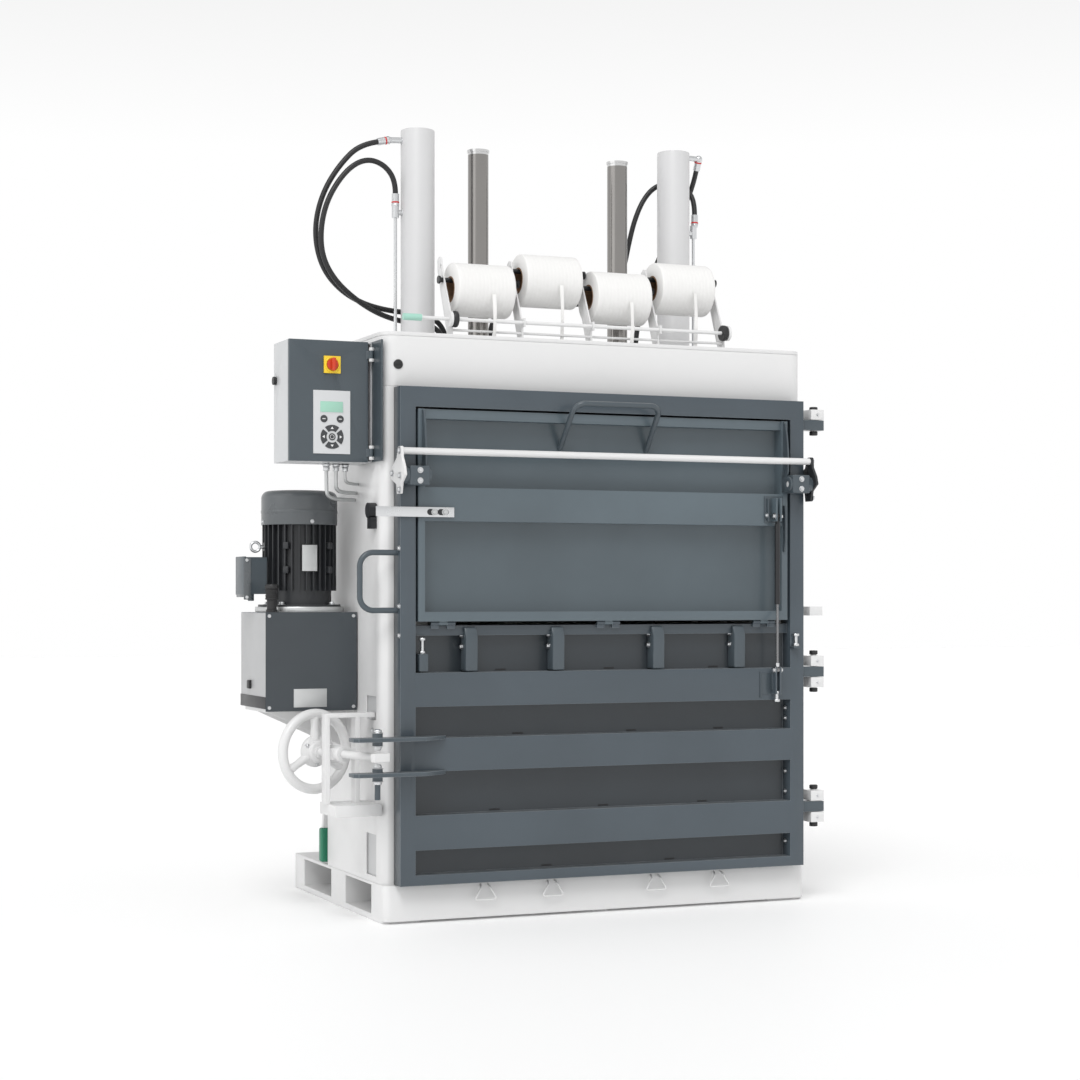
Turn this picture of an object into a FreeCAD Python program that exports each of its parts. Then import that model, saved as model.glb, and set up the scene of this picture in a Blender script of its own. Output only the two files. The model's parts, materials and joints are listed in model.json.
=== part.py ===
# Recycling baler: a vertical press with a full-height door, a loading flap in the door, a hydraulic
# power pack and a control cabinet on its left side, and strap rolls on its deck.
# X runs to the right, Y to the back and Z up, in millimetres. The origin is on the floor, under the
# middle of the centre foot, straight below the line between the two cylinders' fronts.
import FreeCAD, Part
import math
import os
import re
import Sketcher

Vector = FreeCAD.Vector
doc = FreeCAD.newDocument("baler")

SIZES = {
    # body and base
    "bodyHalf": 750, "bodyFront": -400, "wallBack": 185, "cornerRound": 50, "sheetThick": 6,
    "baseFront": -410, "baseBack": 560, "baseTop": 122, "baseSkin": 8, "baseRound": 24,
    "footHeight": 8, "footWidth": 60, "endFoot": 130, "pocketLow": 20, "pocketHigh": 111,
    "frontPocketLow": -282, "frontPocketHigh": -12, "rearPocketLow": 140, "rearPocketHigh": 454,
    "headerBottom": 1686, "deckTop": 1857, "deckThick": 12, "beamThick": 12, "beamGap": 110,
    "beamDrop": 70, "slotFront": -332, "slotBack": -232,
    # bale chamber
    "chamberHalf": 600, "chamberBack": 440, "linerThick": 8, "floorThick": 10, "grooveWide": 20,
    "grooveDeep": 6, "ribDeep": 40, "ribTall": 70, "ribFirst": 250, "ribPitch": 310, "ribFree": 20,
    "guideOuter": 416, "guideInner": 184, "wireRadius": 3,
    # press
    "cylinderX": 478, "guideX": 260, "pressY": 40, "tubeRadius": 57, "boreRadius": 42,
    "tubeTop": 2590, "tubeBottom": 1790, "tubeCap": 22, "glandTall": 40, "tubeFlange": 85,
    "flangeTall": 22, "pistonRod": 25, "runFit": 0.05, "wallFit": 0.3, "guideRod": 35,
    "guideTop": 2532, "guideCap": 8, "guideCapRadius": 38, "bushFlange": 60, "bushSpigot": 50,
    "bushTall": 30, "bushDrop": 60, "plateBottom": 1640, "plateThick": 30, "plateRibs": 25,
    "plateGap": 10, "pistonTop": 2545, "pistonTall": 40,
    # door
    "doorHalf": 715, "doorFront": -465, "doorBack": -402, "doorBottom": 125, "doorTop": 1681,
    "postWide": 50, "topRailLow": 1618, "bottomRailHigh": 157, "panelThick": 10,
    "ribALow": 682, "ribAHigh": 788, "ribBLow": 480, "ribBHigh": 584, "ribCLow": 235,
    "ribCHigh": 343, "stripLow": 904, "stripHigh": 935, "stripFront": -440,
    "clawFront": -462, "clawLow": 790, "clawWide": 42, "clawOuter": 476, "clawInner": 178,
    "doorPinX": 772, "doorPinY": -432, "doorPin": 10, "leafFront": -455, "leafBack": -410,
    "leafRight": 799, "upperLeaf": 1586, "middleLeaf": 756, "lowerLeaf": 302, "leafTall": 34,
    "leafGap": 2, "stopLeaf": 962,
    # loading flap
    "flapHalf": 655, "flapLow": 948, "flapHigh": 1612, "flapBack": -404, "flapSheet": 8,
    "flapFront": -462, "flapRail": 30, "flapRibLow": 1262, "flapRibHigh": 1368, "flapSide": 22,
    "flapPinY": -452, "flapPinZ": 941.5, "knuckle": 6.2, "flapPin": 3, "knucklePitch": 570,
    "handleHalf": 150, "handleFront": -530, "handleTop": 1640, "handleRoot": 1500,
    "sensorBarLeft": -797, "sensorBarRight": -540, "sensorBarLow": 1274, "sensorBarTall": 31,
    # locking bar
    "barPinY": -500, "barPinZ": 1400, "barY": -495, "barZ": 1477, "barRadius": 11, "barPin": 10,
    "hubRadius": 25, "camThick": 8, "camGap": 5,
    # gas strut
    "strutX": 601, "strutY": -490, "strutTop": 1293, "strutFoot": 782, "strutTube": 9,
    "strutBore": 7.5, "strutRod": 4.5, "strutTubeEnd": 1000, "strutEye": 9, "strutPin": 4,
    "earThick": 5, "earGap": 0.5, "eyeWide": 10,
    # door lock
    "lockX": -800, "lockY": -522, "lockZ": 532, "lockTurn": 16.5, "spindleRadius": 12,
    "teeHalf": 30, "teeTall": 14, "teeDeep": 20, "wheelAway": 362, "wheelRadius": 120,
    "wheelTube": 16, "wheelHub": 24, "spindleLong": 405, "plateLeft": -885, "plateRight": -565,
    "plateReach": -530, "lockPlate": 12, "plateUpper": 580, "plateLower": 472, "boltX": -800,
    "boltY": -495, "boltRadius": 9, "boltNut": 16, "jawHalf": 21, "yokeFront": -322,
    "yokeBack": -278, "yokeLeft": -912, "yokeRight": -800, "yokeLow": 376, "yokeHigh": 660,
    "yokeBar": 14, "ledgeLow": 340, "ledgeFront": -390, "ledgeBack": -230,
    # power pack
    "tankLeft": -1057, "tankRight": -755, "tankFront": -150, "tankBack": 152, "tankLow": 667,
    "tankHigh": 975, "tankSheet": 4, "tankRound": 6, "motorX": -902, "motorY": 0,
    "motorFlange": 134, "flangeHigh": 1000, "bellHigh": 1045, "statorHigh": 1258,
    "statorRadius": 104, "finRadius": 120, "finThick": 4, "finCount": 32, "cowlRadius": 123.5,
    "cowlTop": 1369, "cowlSheet": 3, "cowlRound": 24, "cowlSlots": 12, "shaftRadius": 14,
    "fanRadius": 100, "pumpRadius": 50, "breatherX": -1030, "breatherY": -124,
    "boxLeft": -1102, "boxLow": 1034, "boxHigh": 1153, "boxHalf": 48,
    # control cabinet
    "cabinetLeft": -1031, "cabinetFront": -322, "cabinetBack": -153, "cabinetLow": 1449,
    "cabinetHigh": 1828, "cabinetSheet": 4, "cabinetDoor": 14, "mountThick": 6,
    "cabinetPinX": -764, "cabinetPinY": -328, "cabinetPin": 4, "keypadLeft": -953,
    "keypadRight": -833, "keypadLow": 1473, "keypadHigh": 1671, "keypadThick": 3,
    "switchX": -892, "switchZ": 1752, "switchHalf": 27, "switchPlate": 5, "knobRadius": 19,
    "ringZ": 1526, "lockKeyY": -176, "lockKeyZ": 1709,
    # strap rolls
    "rackX": -10, "rackPitch": 244, "rackSheet": 5, "rackFoot": -345, "rackFootWide": 40,
    "rackTopY": -232, "rackTop": 2118, "lowRollY": -262, "lowRollZ": 2018, "highRollY": -244,
    "highRollZ": 2063, "rollRadius": 87, "rollWide": 200, "coreRadius": 38, "axleRadius": 8,
    "axleOut": 12, "axleHead": 13, "headThick": 6, "shaftY": -350, "shaftZ": 1911,
    "shaftRod": 6, "shaftLeft": -606, "gripLong": 60, "discRadius": 25, "railZ": 1878,
    # ejector lever
    "leverX": -730, "leverY": 205, "leverLow": 130, "leverHigh": 430, "leverGrip": 240,
}

sheet = doc.addObject("Spreadsheet::Sheet", "sizes")
for row, (alias, value) in enumerate(SIZES.items(), 1):
    sheet.set(f"A{row}", alias)
    sheet.set(f"B{row}", str(value))
    sheet.setAlias(f"B{row}", alias)
doc.recompute()


def full(text):
    """The expression with the sheet's name in front of each size."""
    return re.sub(r"[A-Za-z]\w*", lambda m: f"sizes.{m.group()}" if m.group() in SIZES else m.group(), str(text))


def value(text):
    """What an expression over the sizes comes to."""
    helper = doc.getObject("reader") or doc.addObject("App::FeaturePython", "reader")
    if "Value" not in helper.PropertiesList:
        helper.addProperty("App::PropertyFloat", "Value")
    helper.setExpression("Value", full(text))
    helper.recompute()
    return helper.Value


def bind(item, **texts):
    for name, text in texts.items():
        item.setExpression(name, full(text))
    return item


def place(item, spot):
    for axis, text in zip("xyz", spot):
        item.setExpression(f".Placement.Base.{axis}", full(text))
    return item


def box(name, across, deep, tall):
    """A box from its low and high edges along X, Y and Z."""
    item = doc.addObject("Part::Box", name)
    spans = [f"({high}) - ({low})" for low, high in (across, deep, tall)]
    bind(item, Length=spans[0], Width=spans[1], Height=spans[2])
    return place(item, (across[0], deep[0], tall[0]))


TURNS = {"x": FreeCAD.Rotation(Vector(0, 1, 0), 90), "y": FreeCAD.Rotation(Vector(1, 0, 0), -90), "z": FreeCAD.Rotation()}


def rod(name, along, radius, span, first, second):
    """A round bar along one axis, over a span of it, centred at the other two coordinates."""
    item = doc.addObject("Part::Cylinder", name)
    item.Placement = FreeCAD.Placement(Vector(), TURNS[along])
    bind(item, Radius=radius, Height=f"({span[1]}) - ({span[0]})")
    spot = [first, second]
    spot.insert("xyz".index(along), span[0])
    return place(item, spot)


def fuse(name, items):
    item = doc.addObject("Part::MultiFuse", name)
    item.Shapes = items
    item.Refine = True
    return item


def cut(name, base, tools):
    tool = tools[0] if len(tools) == 1 else fuse(name + "_tools", tools)
    item = doc.addObject("Part::Cut", name)
    item.Base = base
    item.Tool = tool
    return item


def group(name, items):
    item = doc.addObject("Part::Compound", name)
    item.Links = items
    return item


def mirrored(name, source):
    item = doc.addObject("Part::Mirroring", name)
    item.Source = source
    item.Normal = Vector(1, 0, 0)
    return item


def profile(name, plane, points, low, high, rounds=()):
    """A plate: an outline of expression points on one origin plane, padded from low to high.
    rounds holds pairs of a corner's number and its radius."""
    body = doc.addObject("PartDesign::Body", name)
    sketch = body.newObject("Sketcher::SketchObject", name + "_outline")
    origin = next(f for f in body.Origin.OriginFeatures if f.Role == plane + "_Plane")
    sketch.AttachmentSupport = [(origin, "")]
    sketch.MapMode = "FlatFace"
    start = f"-({high})" if plane == "XZ" else low
    sketch.setExpression(".AttachmentOffset.Base.z", full(start))
    count = len(points)
    spots = [Vector(value(across), value(up), 0) for across, up in points]
    for i in range(count):
        sketch.addGeometry(Part.LineSegment(spots[i], spots[(i + 1) % count]), False)
    for i in range(count):
        sketch.addConstraint(Sketcher.Constraint("Coincident", i, 2, (i + 1) % count, 1))
    for i, point in enumerate(points):
        for kind, text in zip(("DistanceX", "DistanceY"), point):
            number = sketch.addConstraint(Sketcher.Constraint(kind, -1, 1, i, 1, value(text)))
            sketch.setExpression(f"Constraints[{number}]", full(text))
    pad = body.newObject("PartDesign::Pad", name + "_pad")
    pad.Profile = sketch
    pad.setExpression("Length", full(f"({high}) - ({low})"))
    doc.recompute()
    for number, (corner, radius) in enumerate(rounds):
        base = body.Tip
        spot = sketch.Placement.multVec(Vector(value(points[corner][0]), value(points[corner][1]), 0))
        normal = sketch.Placement.Rotation.multVec(Vector(0, 0, 1))
        edges = [
            f"Edge{i}"
            for i, edge in enumerate(base.Shape.Edges, 1)
            if len(edge.Vertexes) == 2
            and all((v.Point - spot - normal * normal.dot(v.Point - spot)).Length < 0.01 for v in edge.Vertexes)
        ]
        fillet = body.newObject("PartDesign::Fillet", f"{name}_round{number}")
        fillet.Base = (base, edges)
        fillet.setExpression("Radius", full(radius))
        body.Tip = fillet
        doc.recompute()
    return body


def solid(name, shape):
    item = doc.addObject("Part::Feature", name)
    item.Shape = shape
    return item


def route(points, share=0.45):
    """A wire of straight runs joined by arcs, each as large as its two runs allow, and its tightest radius."""
    spots = [Vector(*p) for p in points]
    edges, tightest, here = [], None, spots[0]
    for before, corner, after in zip(spots, spots[1:], spots[2:]):
        back, ahead = before - corner, after - corner
        reach = share * min(back.Length, ahead.Length)
        half_turn = (math.pi - back.getAngle(ahead)) / 2
        radius = reach / math.tan(half_turn)
        tightest = radius if tightest is None else min(tightest, radius)
        back.normalize()
        ahead.normalize()
        enter, leave = corner + back * reach, corner + ahead * reach
        inward = back + ahead
        inward.normalize()
        middle = corner + inward * (radius / math.cos(half_turn) - radius)
        edges.append(Part.LineSegment(here, enter).toShape())
        edges.append(Part.Arc(enter, middle, leave).toShape())
        here = leave
    edges.append(Part.LineSegment(here, spots[-1]).toShape())
    return Part.Wire(edges), tightest


def tube(points, radius, share=0.45, name=""):
    """A round bar or hose along a route."""
    wire, tightest = route(points, share)
    start = wire.OrderedVertexes[0].Point
    heading = Vector(*points[1]) - Vector(*points[0])
    ring = Part.Wire([Part.makeCircle(radius, start, heading)])
    shape = wire.makePipeShell([ring], True, False)
    if name:
        ideal = math.pi * radius**2 * wire.Length
        print(f"{name}: length {wire.Length:.0f}, tightest radius {tightest:.0f}, volume/ideal {shape.Volume / ideal:.4f}")
    return shape


def bar_between(start, end, radius):
    heading = end - start
    return Part.makeCylinder(radius, heading.Length, start, heading)


# ---------------------------------------------------------------- base and body
def base_frame():
    front, back = "baseFront", "baseBack"
    block = profile(
        "base_block", "XY",
        [("-bodyHalf", front), ("bodyHalf", front), ("bodyHalf", back), ("-bodyHalf", back)],
        "footHeight", "baseTop", [(0, "baseRound"), (1, "baseRound")],
    )
    through = ("-bodyHalf - 1", "bodyHalf + 1")
    inside = ("-bodyHalf + baseSkin", "bodyHalf - baseSkin")
    hollow = ("footHeight + baseSkin", "baseTop - baseSkin")
    tools = [
        box("front_pocket", through, ("frontPocketLow", "frontPocketHigh"), ("pocketLow", "pocketHigh")),
        box("rear_pocket", through, ("rearPocketLow", "rearPocketHigh"), ("pocketLow", "pocketHigh")),
        box("front_cell", inside, ("baseFront + baseSkin", "frontPocketLow - baseSkin"), hollow),
        box("middle_cell", inside, ("frontPocketHigh + baseSkin", "rearPocketLow - baseSkin"), hollow),
        box("rear_cell", inside, ("rearPocketHigh + baseSkin", "baseBack - baseSkin"), hollow),
    ]
    shell = cut("base_shell", block, tools)
    deep = ("baseFront + baseRound", "baseBack")
    spans = [("-bodyHalf", "-bodyHalf + endFoot"), ("-footWidth / 2", "footWidth / 2"), ("bodyHalf - endFoot", "bodyHalf")]
    feet = [box(f"foot{i}", span, deep, (0, "footHeight")) for i, span in enumerate(spans)]
    return fuse("base_frame", [shell] + feet)


def side_walls():
    outer, inner = "-bodyHalf", "-bodyHalf + sheetThick"
    liner = "-chamberHalf - linerThick"
    points = [
        (outer, "bodyFront"), ("-chamberHalf", "bodyFront"), ("-chamberHalf", "bodyFront + sheetThick"),
        (inner, "bodyFront + sheetThick"), (inner, "wallBack - sheetThick"), (liner, "wallBack - sheetThick"),
        (liner, "wallBack"), (outer, "wallBack"),
    ]
    rounds = [(0, "cornerRound"), (3, "cornerRound - sheetThick"), (7, "sheetThick * 1.5")]
    wall = profile("wall_sheet", "XY", points, "baseTop", "headerBottom", rounds)
    across = ("-bodyHalf - 1", "-bodyHalf + sheetThick + 1")
    slots = [box(f"wall_slot{i}", across, ("slotFront", "slotBack"), span) for i, span in enumerate(((142, 274), (636, 711)))]
    left = cut("left_side_wall", wall, slots)
    return left, mirrored("right_side_wall", left)


def chamber():
    side, outer = "chamberHalf", "chamberHalf + linerThick"
    front, back = "bodyFront + sheetThick", "chamberBack + linerThick"
    shell = profile(
        "liner_shell", "XY",
        [(f"-({outer})", front), (f"-{side}", front), (f"-{side}", "chamberBack"), (side, "chamberBack"),
         (side, front), (outer, front), (outer, back), (f"-({outer})", back)],
        "baseTop", "headerBottom",
    )
    reach = "chamberHalf + linerThick + ribDeep"
    start = "wallBack + ribFree"
    ribs = []
    for i in range(5):
        low = f"ribFirst + {i} * ribPitch"
        ribs.append(profile(
            f"liner_rib{i}", "XY",
            [(f"-({reach})", start), (f"-({outer})", start), (f"-({outer})", back), (outer, back),
             (outer, start), (reach, start), (reach, f"{back} + ribDeep"), (f"-({reach})", f"{back} + ribDeep")],
            low, f"{low} + ribTall", [(6, "ribDeep / 4"), (7, "ribDeep / 4")],
        ))
    pivot_y, pivot_z = "leverY + 17", "leverHigh - 20"
    lever_pivot = [
        rod("lever_pin", "x", 9, ("leverX - 10", "-chamberHalf - linerThick - ribDeep"), pivot_y, pivot_z),
        box("lever_bearing", ("leverX + 20", "-chamberHalf - linerThick / 2"), ("leverY - 2", "leverY + 40"), ("leverHigh - 44", "leverHigh + 4")),
    ]
    fuse("chamber_liner", [shell] + ribs + lever_pivot)
    plate = box("floor_plate", (f"-{side}", side), (front, "chamberBack"), ("baseTop", "baseTop + floorThick"))
    grooves = []
    for i, middle in enumerate(("-clawOuter", "-clawInner", "clawInner", "clawOuter")):
        span = (f"{middle} - grooveWide / 2", f"{middle} + grooveWide / 2")
        grooves.append(box(f"groove{i}", span, (f"{front} - 1", "chamberBack + 1"), ("baseTop + floorThick - grooveDeep", "baseTop + floorThick + 1")))
    cut("chamber_floor", plate, grooves)


def header_and_deck():
    def ring(name, inset, low, high, round_text):
        left, right = f"-bodyHalf + {inset}", f"bodyHalf - {inset}"
        front, back = f"bodyFront + {inset}", f"wallBack - {inset}"
        points = [(left, front), (right, front), (right, back), (left, back)]
        return profile(name, "XY", points, low, high, [(0, round_text), (1, round_text)])

    outside = ring("header_outside", "0", "headerBottom", "deckTop - deckThick", "cornerRound")
    inside = ring("header_inside", "sheetThick", "headerBottom - 1", "deckTop - deckThick + 1", "cornerRound - sheetThick")
    cut("header_beam", outside, [inside])

    deck = ring("deck_sheet", "0", "deckTop - deckThick", "deckTop", "cornerRound")
    tall = ("deckTop - beamDrop", "deckTop - deckThick")
    across = ("-bodyHalf + sheetThick", "bodyHalf - sheetThick")
    beams = []
    for i, edge in enumerate(("pressY - beamGap", "pressY + beamGap - beamThick")):
        beams.append(box(f"cross_beam{i}", across, (edge, f"{edge} + beamThick"), tall))
    through = ("deckTop - beamDrop - 1", "deckTop + 1")
    holes = []
    for i, (middle, radius) in enumerate((
        ("-cylinderX", "tubeRadius + wallFit"), ("cylinderX", "tubeRadius + wallFit"),
        ("-guideX", "bushSpigot + wallFit"), ("guideX", "bushSpigot + wallFit"),
    )):
        holes.append(rod(f"deck_hole{i}", "z", radius, through, middle, "pressY"))
    cut("top_plate", fuse("deck_and_beams", [deck] + beams), holes)


def press():
    def cylinder(name, middle):
        body = fuse(name + "_outside", [
            rod(name + "_tube", "z", "tubeRadius", ("tubeBottom", "tubeTop"), middle, "pressY"),
            rod(name + "_flange", "z", "tubeFlange", ("deckTop", "deckTop + flangeTall"), middle, "pressY"),
        ])
        return cut(name, body, [
            rod(name + "_bore", "z", "boreRadius", ("tubeBottom + glandTall", "tubeTop - tubeCap"), middle, "pressY"),
            rod(name + "_gland", "z", "pistonRod + runFit", ("tubeBottom - 1", "tubeBottom + glandTall + 1"), middle, "pressY"),
        ])

    cylinder("left_cylinder", "-cylinderX")
    cylinder("right_cylinder", "cylinderX")
    bushes, guides, pistons = [], [], []
    for side, sign in (("left", "-"), ("right", "")):
        guide, piston = f"{sign}guideX", f"{sign}cylinderX"
        bush = fuse(f"{side}_bush_outside", [
            rod(f"{side}_bush_flange", "z", "bushFlange", ("deckTop", "deckTop + bushTall"), guide, "pressY"),
            rod(f"{side}_bush_spigot", "z", "bushSpigot", ("deckTop - bushDrop", "deckTop"), guide, "pressY"),
        ])
        through = ("deckTop - bushDrop - 1", "deckTop + bushTall + 1")
        bushes.append(cut(f"{side}_bush", bush, [rod(f"{side}_bush_bore", "z", "guideRod + runFit", through, guide, "pressY")]))
        guides.append(fuse(f"{side}_guide", [
            rod(f"{side}_guide_bar", "z", "guideRod", ("plateBottom + plateThick + plateRibs", "guideTop"), guide, "pressY"),
            rod(f"{side}_guide_cap", "z", "guideCapRadius", ("guideTop", "guideTop + guideCap"), guide, "pressY"),
        ]))
        pistons.append(fuse(f"{side}_piston", [
            rod(f"{side}_piston_bar", "z", "pistonRod", ("plateBottom + plateThick + plateRibs", "pistonTop"), piston, "pressY"),
            rod(f"{side}_piston_head", "z", "boreRadius - runFit", ("pistonTop - pistonTall", "pistonTop"), piston, "pressY"),
        ]))
    group("guide_bushes", bushes)
    group("guide_rods", guides)
    group("piston_rods", pistons)

    across = ("-chamberHalf + plateGap", "chamberHalf - plateGap")
    deep = ("bodyFront + sheetThick + plateGap", "chamberBack - plateGap")
    plate = box("press_sheet", across, deep, ("plateBottom", "plateBottom + plateThick"))
    grooves = []
    for i, middle in enumerate(("-clawOuter", "-clawInner", "clawInner", "clawOuter")):
        span = (f"{middle} - grooveWide / 2", f"{middle} + grooveWide / 2")
        grooves.append(box(f"press_groove{i}", span, ("bodyFront", "chamberBack"), ("plateBottom - 1", "plateBottom + plateThick / 2")))
    ribs = [
        box("press_rib", ("-cylinderX - tubeFlange", "cylinderX + tubeFlange"), ("pressY - beamGap / 2", "pressY + beamGap / 2"),
            ("plateBottom + plateThick", "plateBottom + plateThick + plateRibs")),
    ]
    fuse("press_plate", [cut("press_grooved", plate, grooves)] + ribs)


# ---------------------------------------------------------------- door and flap
def door():
    left, right = ("-doorHalf", "-doorHalf + postWide"), ("doorHalf - postWide", "doorHalf")
    between = ("-doorHalf + postWide", "doorHalf - postWide")
    deep, tall = ("doorFront", "doorBack"), ("doorBottom", "doorTop")
    pieces = [
        box("left_post", left, deep, tall),
        box("right_post", right, deep, tall),
        box("top_rail", between, deep, ("topRailLow", "doorTop")),
        box("bottom_rail", between, deep, ("doorBottom", "bottomRailHigh")),
        box("lower_panel", between, ("doorBack - panelThick", "doorBack"), ("bottomRailHigh", "stripLow")),
        box("claw_strip", between, ("stripFront", "doorBack"), ("stripLow", "stripHigh")),
        box("strut_pad", ("strutX - eyeWide / 2 - earGap - earThick", "strutX + eyeWide / 2 + earGap + earThick"),
            ("strutY + strutEye + 4", "doorFront"), ("strutFoot - 80", "ribAHigh")),
    ]
    for name in ("ribA", "ribB", "ribC"):
        pieces.append(box(f"door_{name}", between, deep, (f"{name}Low", f"{name}High")))
    for i, (low, high) in enumerate((
        ("strutX - eyeWide / 2 - earGap - earThick", "strutX - eyeWide / 2 - earGap"),
        ("strutX + eyeWide / 2 + earGap", "strutX + eyeWide / 2 + earGap + earThick"),
    )):
        pieces.append(box(f"strut_ear{i}", (low, high), ("strutY - strutEye", "strutY + strutEye + 4"), ("strutFoot - 80", "strutFoot + strutEye")))
    for i in (-1, 0, 1):
        middle = f"{i} * knucklePitch"
        pieces.append(rod(f"flap_pin{i + 1}", "x", "flapPin", (f"{middle} - 40", f"{middle} + 40"), "flapPinY", "flapPinZ"))
        for side, (low, high) in enumerate(((-40, -14), (14, 40))):
            span = (f"{middle} + {low}", f"{middle} + {high}")
            pieces.append(rod(f"door_knuckle{i + 1}{side}", "x", "knuckle", span, "flapPinY", "flapPinZ"))
            pieces.append(box(f"door_knuckle_foot{i + 1}{side}", span, ("flapPinY", "stripFront"), ("stripHigh - 10", "flapPinZ - 3")))
    fuse("door_frame", pieces)

    claws = []
    back = "doorBack - panelThick"
    for i, middle in enumerate(("-clawOuter", "-clawInner", "clawInner", "clawOuter")):
        points = [(back, "clawLow"), ("clawFront", "clawLow"), ("clawFront", "stripLow - 4"), ("clawFront + 12", "stripHigh - 7"),
                  ("stripFront", "stripHigh - 3"), ("stripFront", "stripLow"), (back, "stripLow")]
        claws.append(profile(f"claw{i}", "YZ", points, f"{middle} - clawWide / 2", f"{middle} + clawWide / 2", [(3, 8)]))
    group("strap_claws", claws)

    grip_y, out = value("(doorFront + doorBack) / 2"), value("-doorHalf - 122")
    edge = value("-doorHalf")
    loop = [(edge, grip_y, 1163), (out, grip_y, 1163), (out, grip_y, 983), (edge, grip_y, 983)]
    solid("door_handle", tube(loop, 9, 0.36))


def door_hinges():
    leaves, posts = [], []
    bore_span = {}
    for name, pairs in (("upperLeaf", (1,)), ("middleLeaf", (-1, 1)), ("lowerLeaf", (-1, 1))):
        span = (name, f"{name} + leafTall")
        leaves.append(box(f"door_{name}", ("doorHalf", "leafRight"), ("leafFront", "leafBack"), span))
        for way in pairs:
            low = f"{name} + {way} * (leafTall + leafGap)"
            tall = (low, f"{low} + leafTall")
            posts.append(box(f"body_{name}{way + 1}", ("bodyHalf", "leafRight"), ("leafFront", "leafBack"), tall))
            posts.append(box(f"strap_{name}{way + 1}", ("bodyHalf", "bodyHalf + 12"), ("leafBack", "bodyFront + 110"), tall))
        bottom = f"{name} - 14" if len(pairs) == 1 else f"{name} - leafTall - leafGap - 14"
        bore_span[name] = (bottom, f"{name} + 2 * leafTall + leafGap + 10")
        posts.append(rod(f"pin_{name}", "z", "doorPin", bore_span[name], "doorPinX", "doorPinY"))
    tall = ("stopLeaf", "stopLeaf + leafTall - 4")
    posts.append(box("stop_leaf", ("bodyHalf", "leafRight"), ("leafFront + 10", "leafBack"), tall))
    posts.append(box("stop_strap", ("bodyHalf", "bodyHalf + 12"), ("leafBack", "bodyFront + 110"), tall))
    fuse("body_hinges", posts)
    bores = [rod(f"bore_{name}", "z", "doorPin + runFit", (f"{name} - 1", f"{name} + leafTall + 1"), "doorPinX", "doorPinY") for name in bore_span]
    cut("door_hinges", group("door_leaves", leaves), bores)


def flap():
    across, inner = ("-flapHalf", "flapHalf"), ("-flapHalf + flapSide", "flapHalf - flapSide")
    deep, tall = ("flapFront", "flapBack"), ("flapLow", "flapHigh")
    pieces = [
        box("flap_sheet", across, ("flapBack - flapSheet", "flapBack"), tall),
        box("flap_left", ("-flapHalf", "-flapHalf + flapSide"), deep, tall),
        box("flap_right", ("flapHalf - flapSide", "flapHalf"), deep, tall),
        box("flap_top", inner, ("flapFront + 6", "flapBack"), ("flapHigh - flapRail", "flapHigh")),
        box("flap_middle", inner, deep, ("flapRibLow", "flapRibHigh")),
        box("flap_bottom", inner, deep, ("flapLow", "flapLow + flapRail")),
    ]
    for i, (low, high) in enumerate((
        ("strutX - eyeWide / 2 - earGap - earThick", "strutX - eyeWide / 2 - earGap"),
        ("strutX + eyeWide / 2 + earGap", "strutX + eyeWide / 2 + earGap + earThick"),
    )):
        pieces.append(box(f"flap_ear{i}", (low, high), ("strutY - strutEye - 3", "flapFront"), ("strutTop - strutEye - 8", "strutTop + 60")))
    pieces.append(rod("flap_eye_pin", "x", "strutPin", ("strutX - eyeWide / 2 - earGap - earThick", "strutX + eyeWide / 2 + earGap + earThick"), "strutY", "strutTop"))
    bores = []
    for i in (-1, 0, 1):
        span = (f"{i} * knucklePitch - 13.5", f"{i} * knucklePitch + 13.5")
        pieces.append(rod(f"flap_knuckle{i + 1}", "x", "knuckle", span, "flapPinY", "flapPinZ"))
        pieces.append(box(f"flap_knuckle_foot{i + 1}", span, ("flapPinY - knuckle + 1", "flapPinY + knuckle - 1"), ("flapPinZ + 3.5", "flapLow")))
        bores.append(rod(f"flap_bore{i + 1}", "x", "flapPin + runFit", (f"{i} * knucklePitch - 14", f"{i} * knucklePitch + 14"), "flapPinY", "flapPinZ"))
    cut("flap_panel", fuse("flap_welded", pieces), bores)

    half, root = value("handleHalf"), value("flapBack - flapSheet")
    front, top, low = value("handleFront"), value("handleTop"), value("handleRoot")
    loop = [(-half - 4, root, low), (-half, front, top), (half, front, top), (half + 4, root, low)]
    shape = tube(loop, 9, 0.2).common(Part.makeBox(1000, 400, 1000, Vector(-500, root - 400, 1000)))
    solid("flap_handle", shape)

    bar = box("sensor_strip", ("sensorBarLeft", "sensorBarRight"), ("flapFront - 12", "flapFront - 6"), ("sensorBarLow", "sensorBarLow + sensorBarTall"))
    middle = "sensorBarLow + sensorBarTall / 2"
    feet = [rod(f"sensor_spacer{i}", "y", 8, ("flapFront - 7", "flapFront"), f"sensorBarRight - {away}", middle) for i, away in enumerate((22, 60))]
    fuse("sensor_bar", [bar] + feet)


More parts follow.
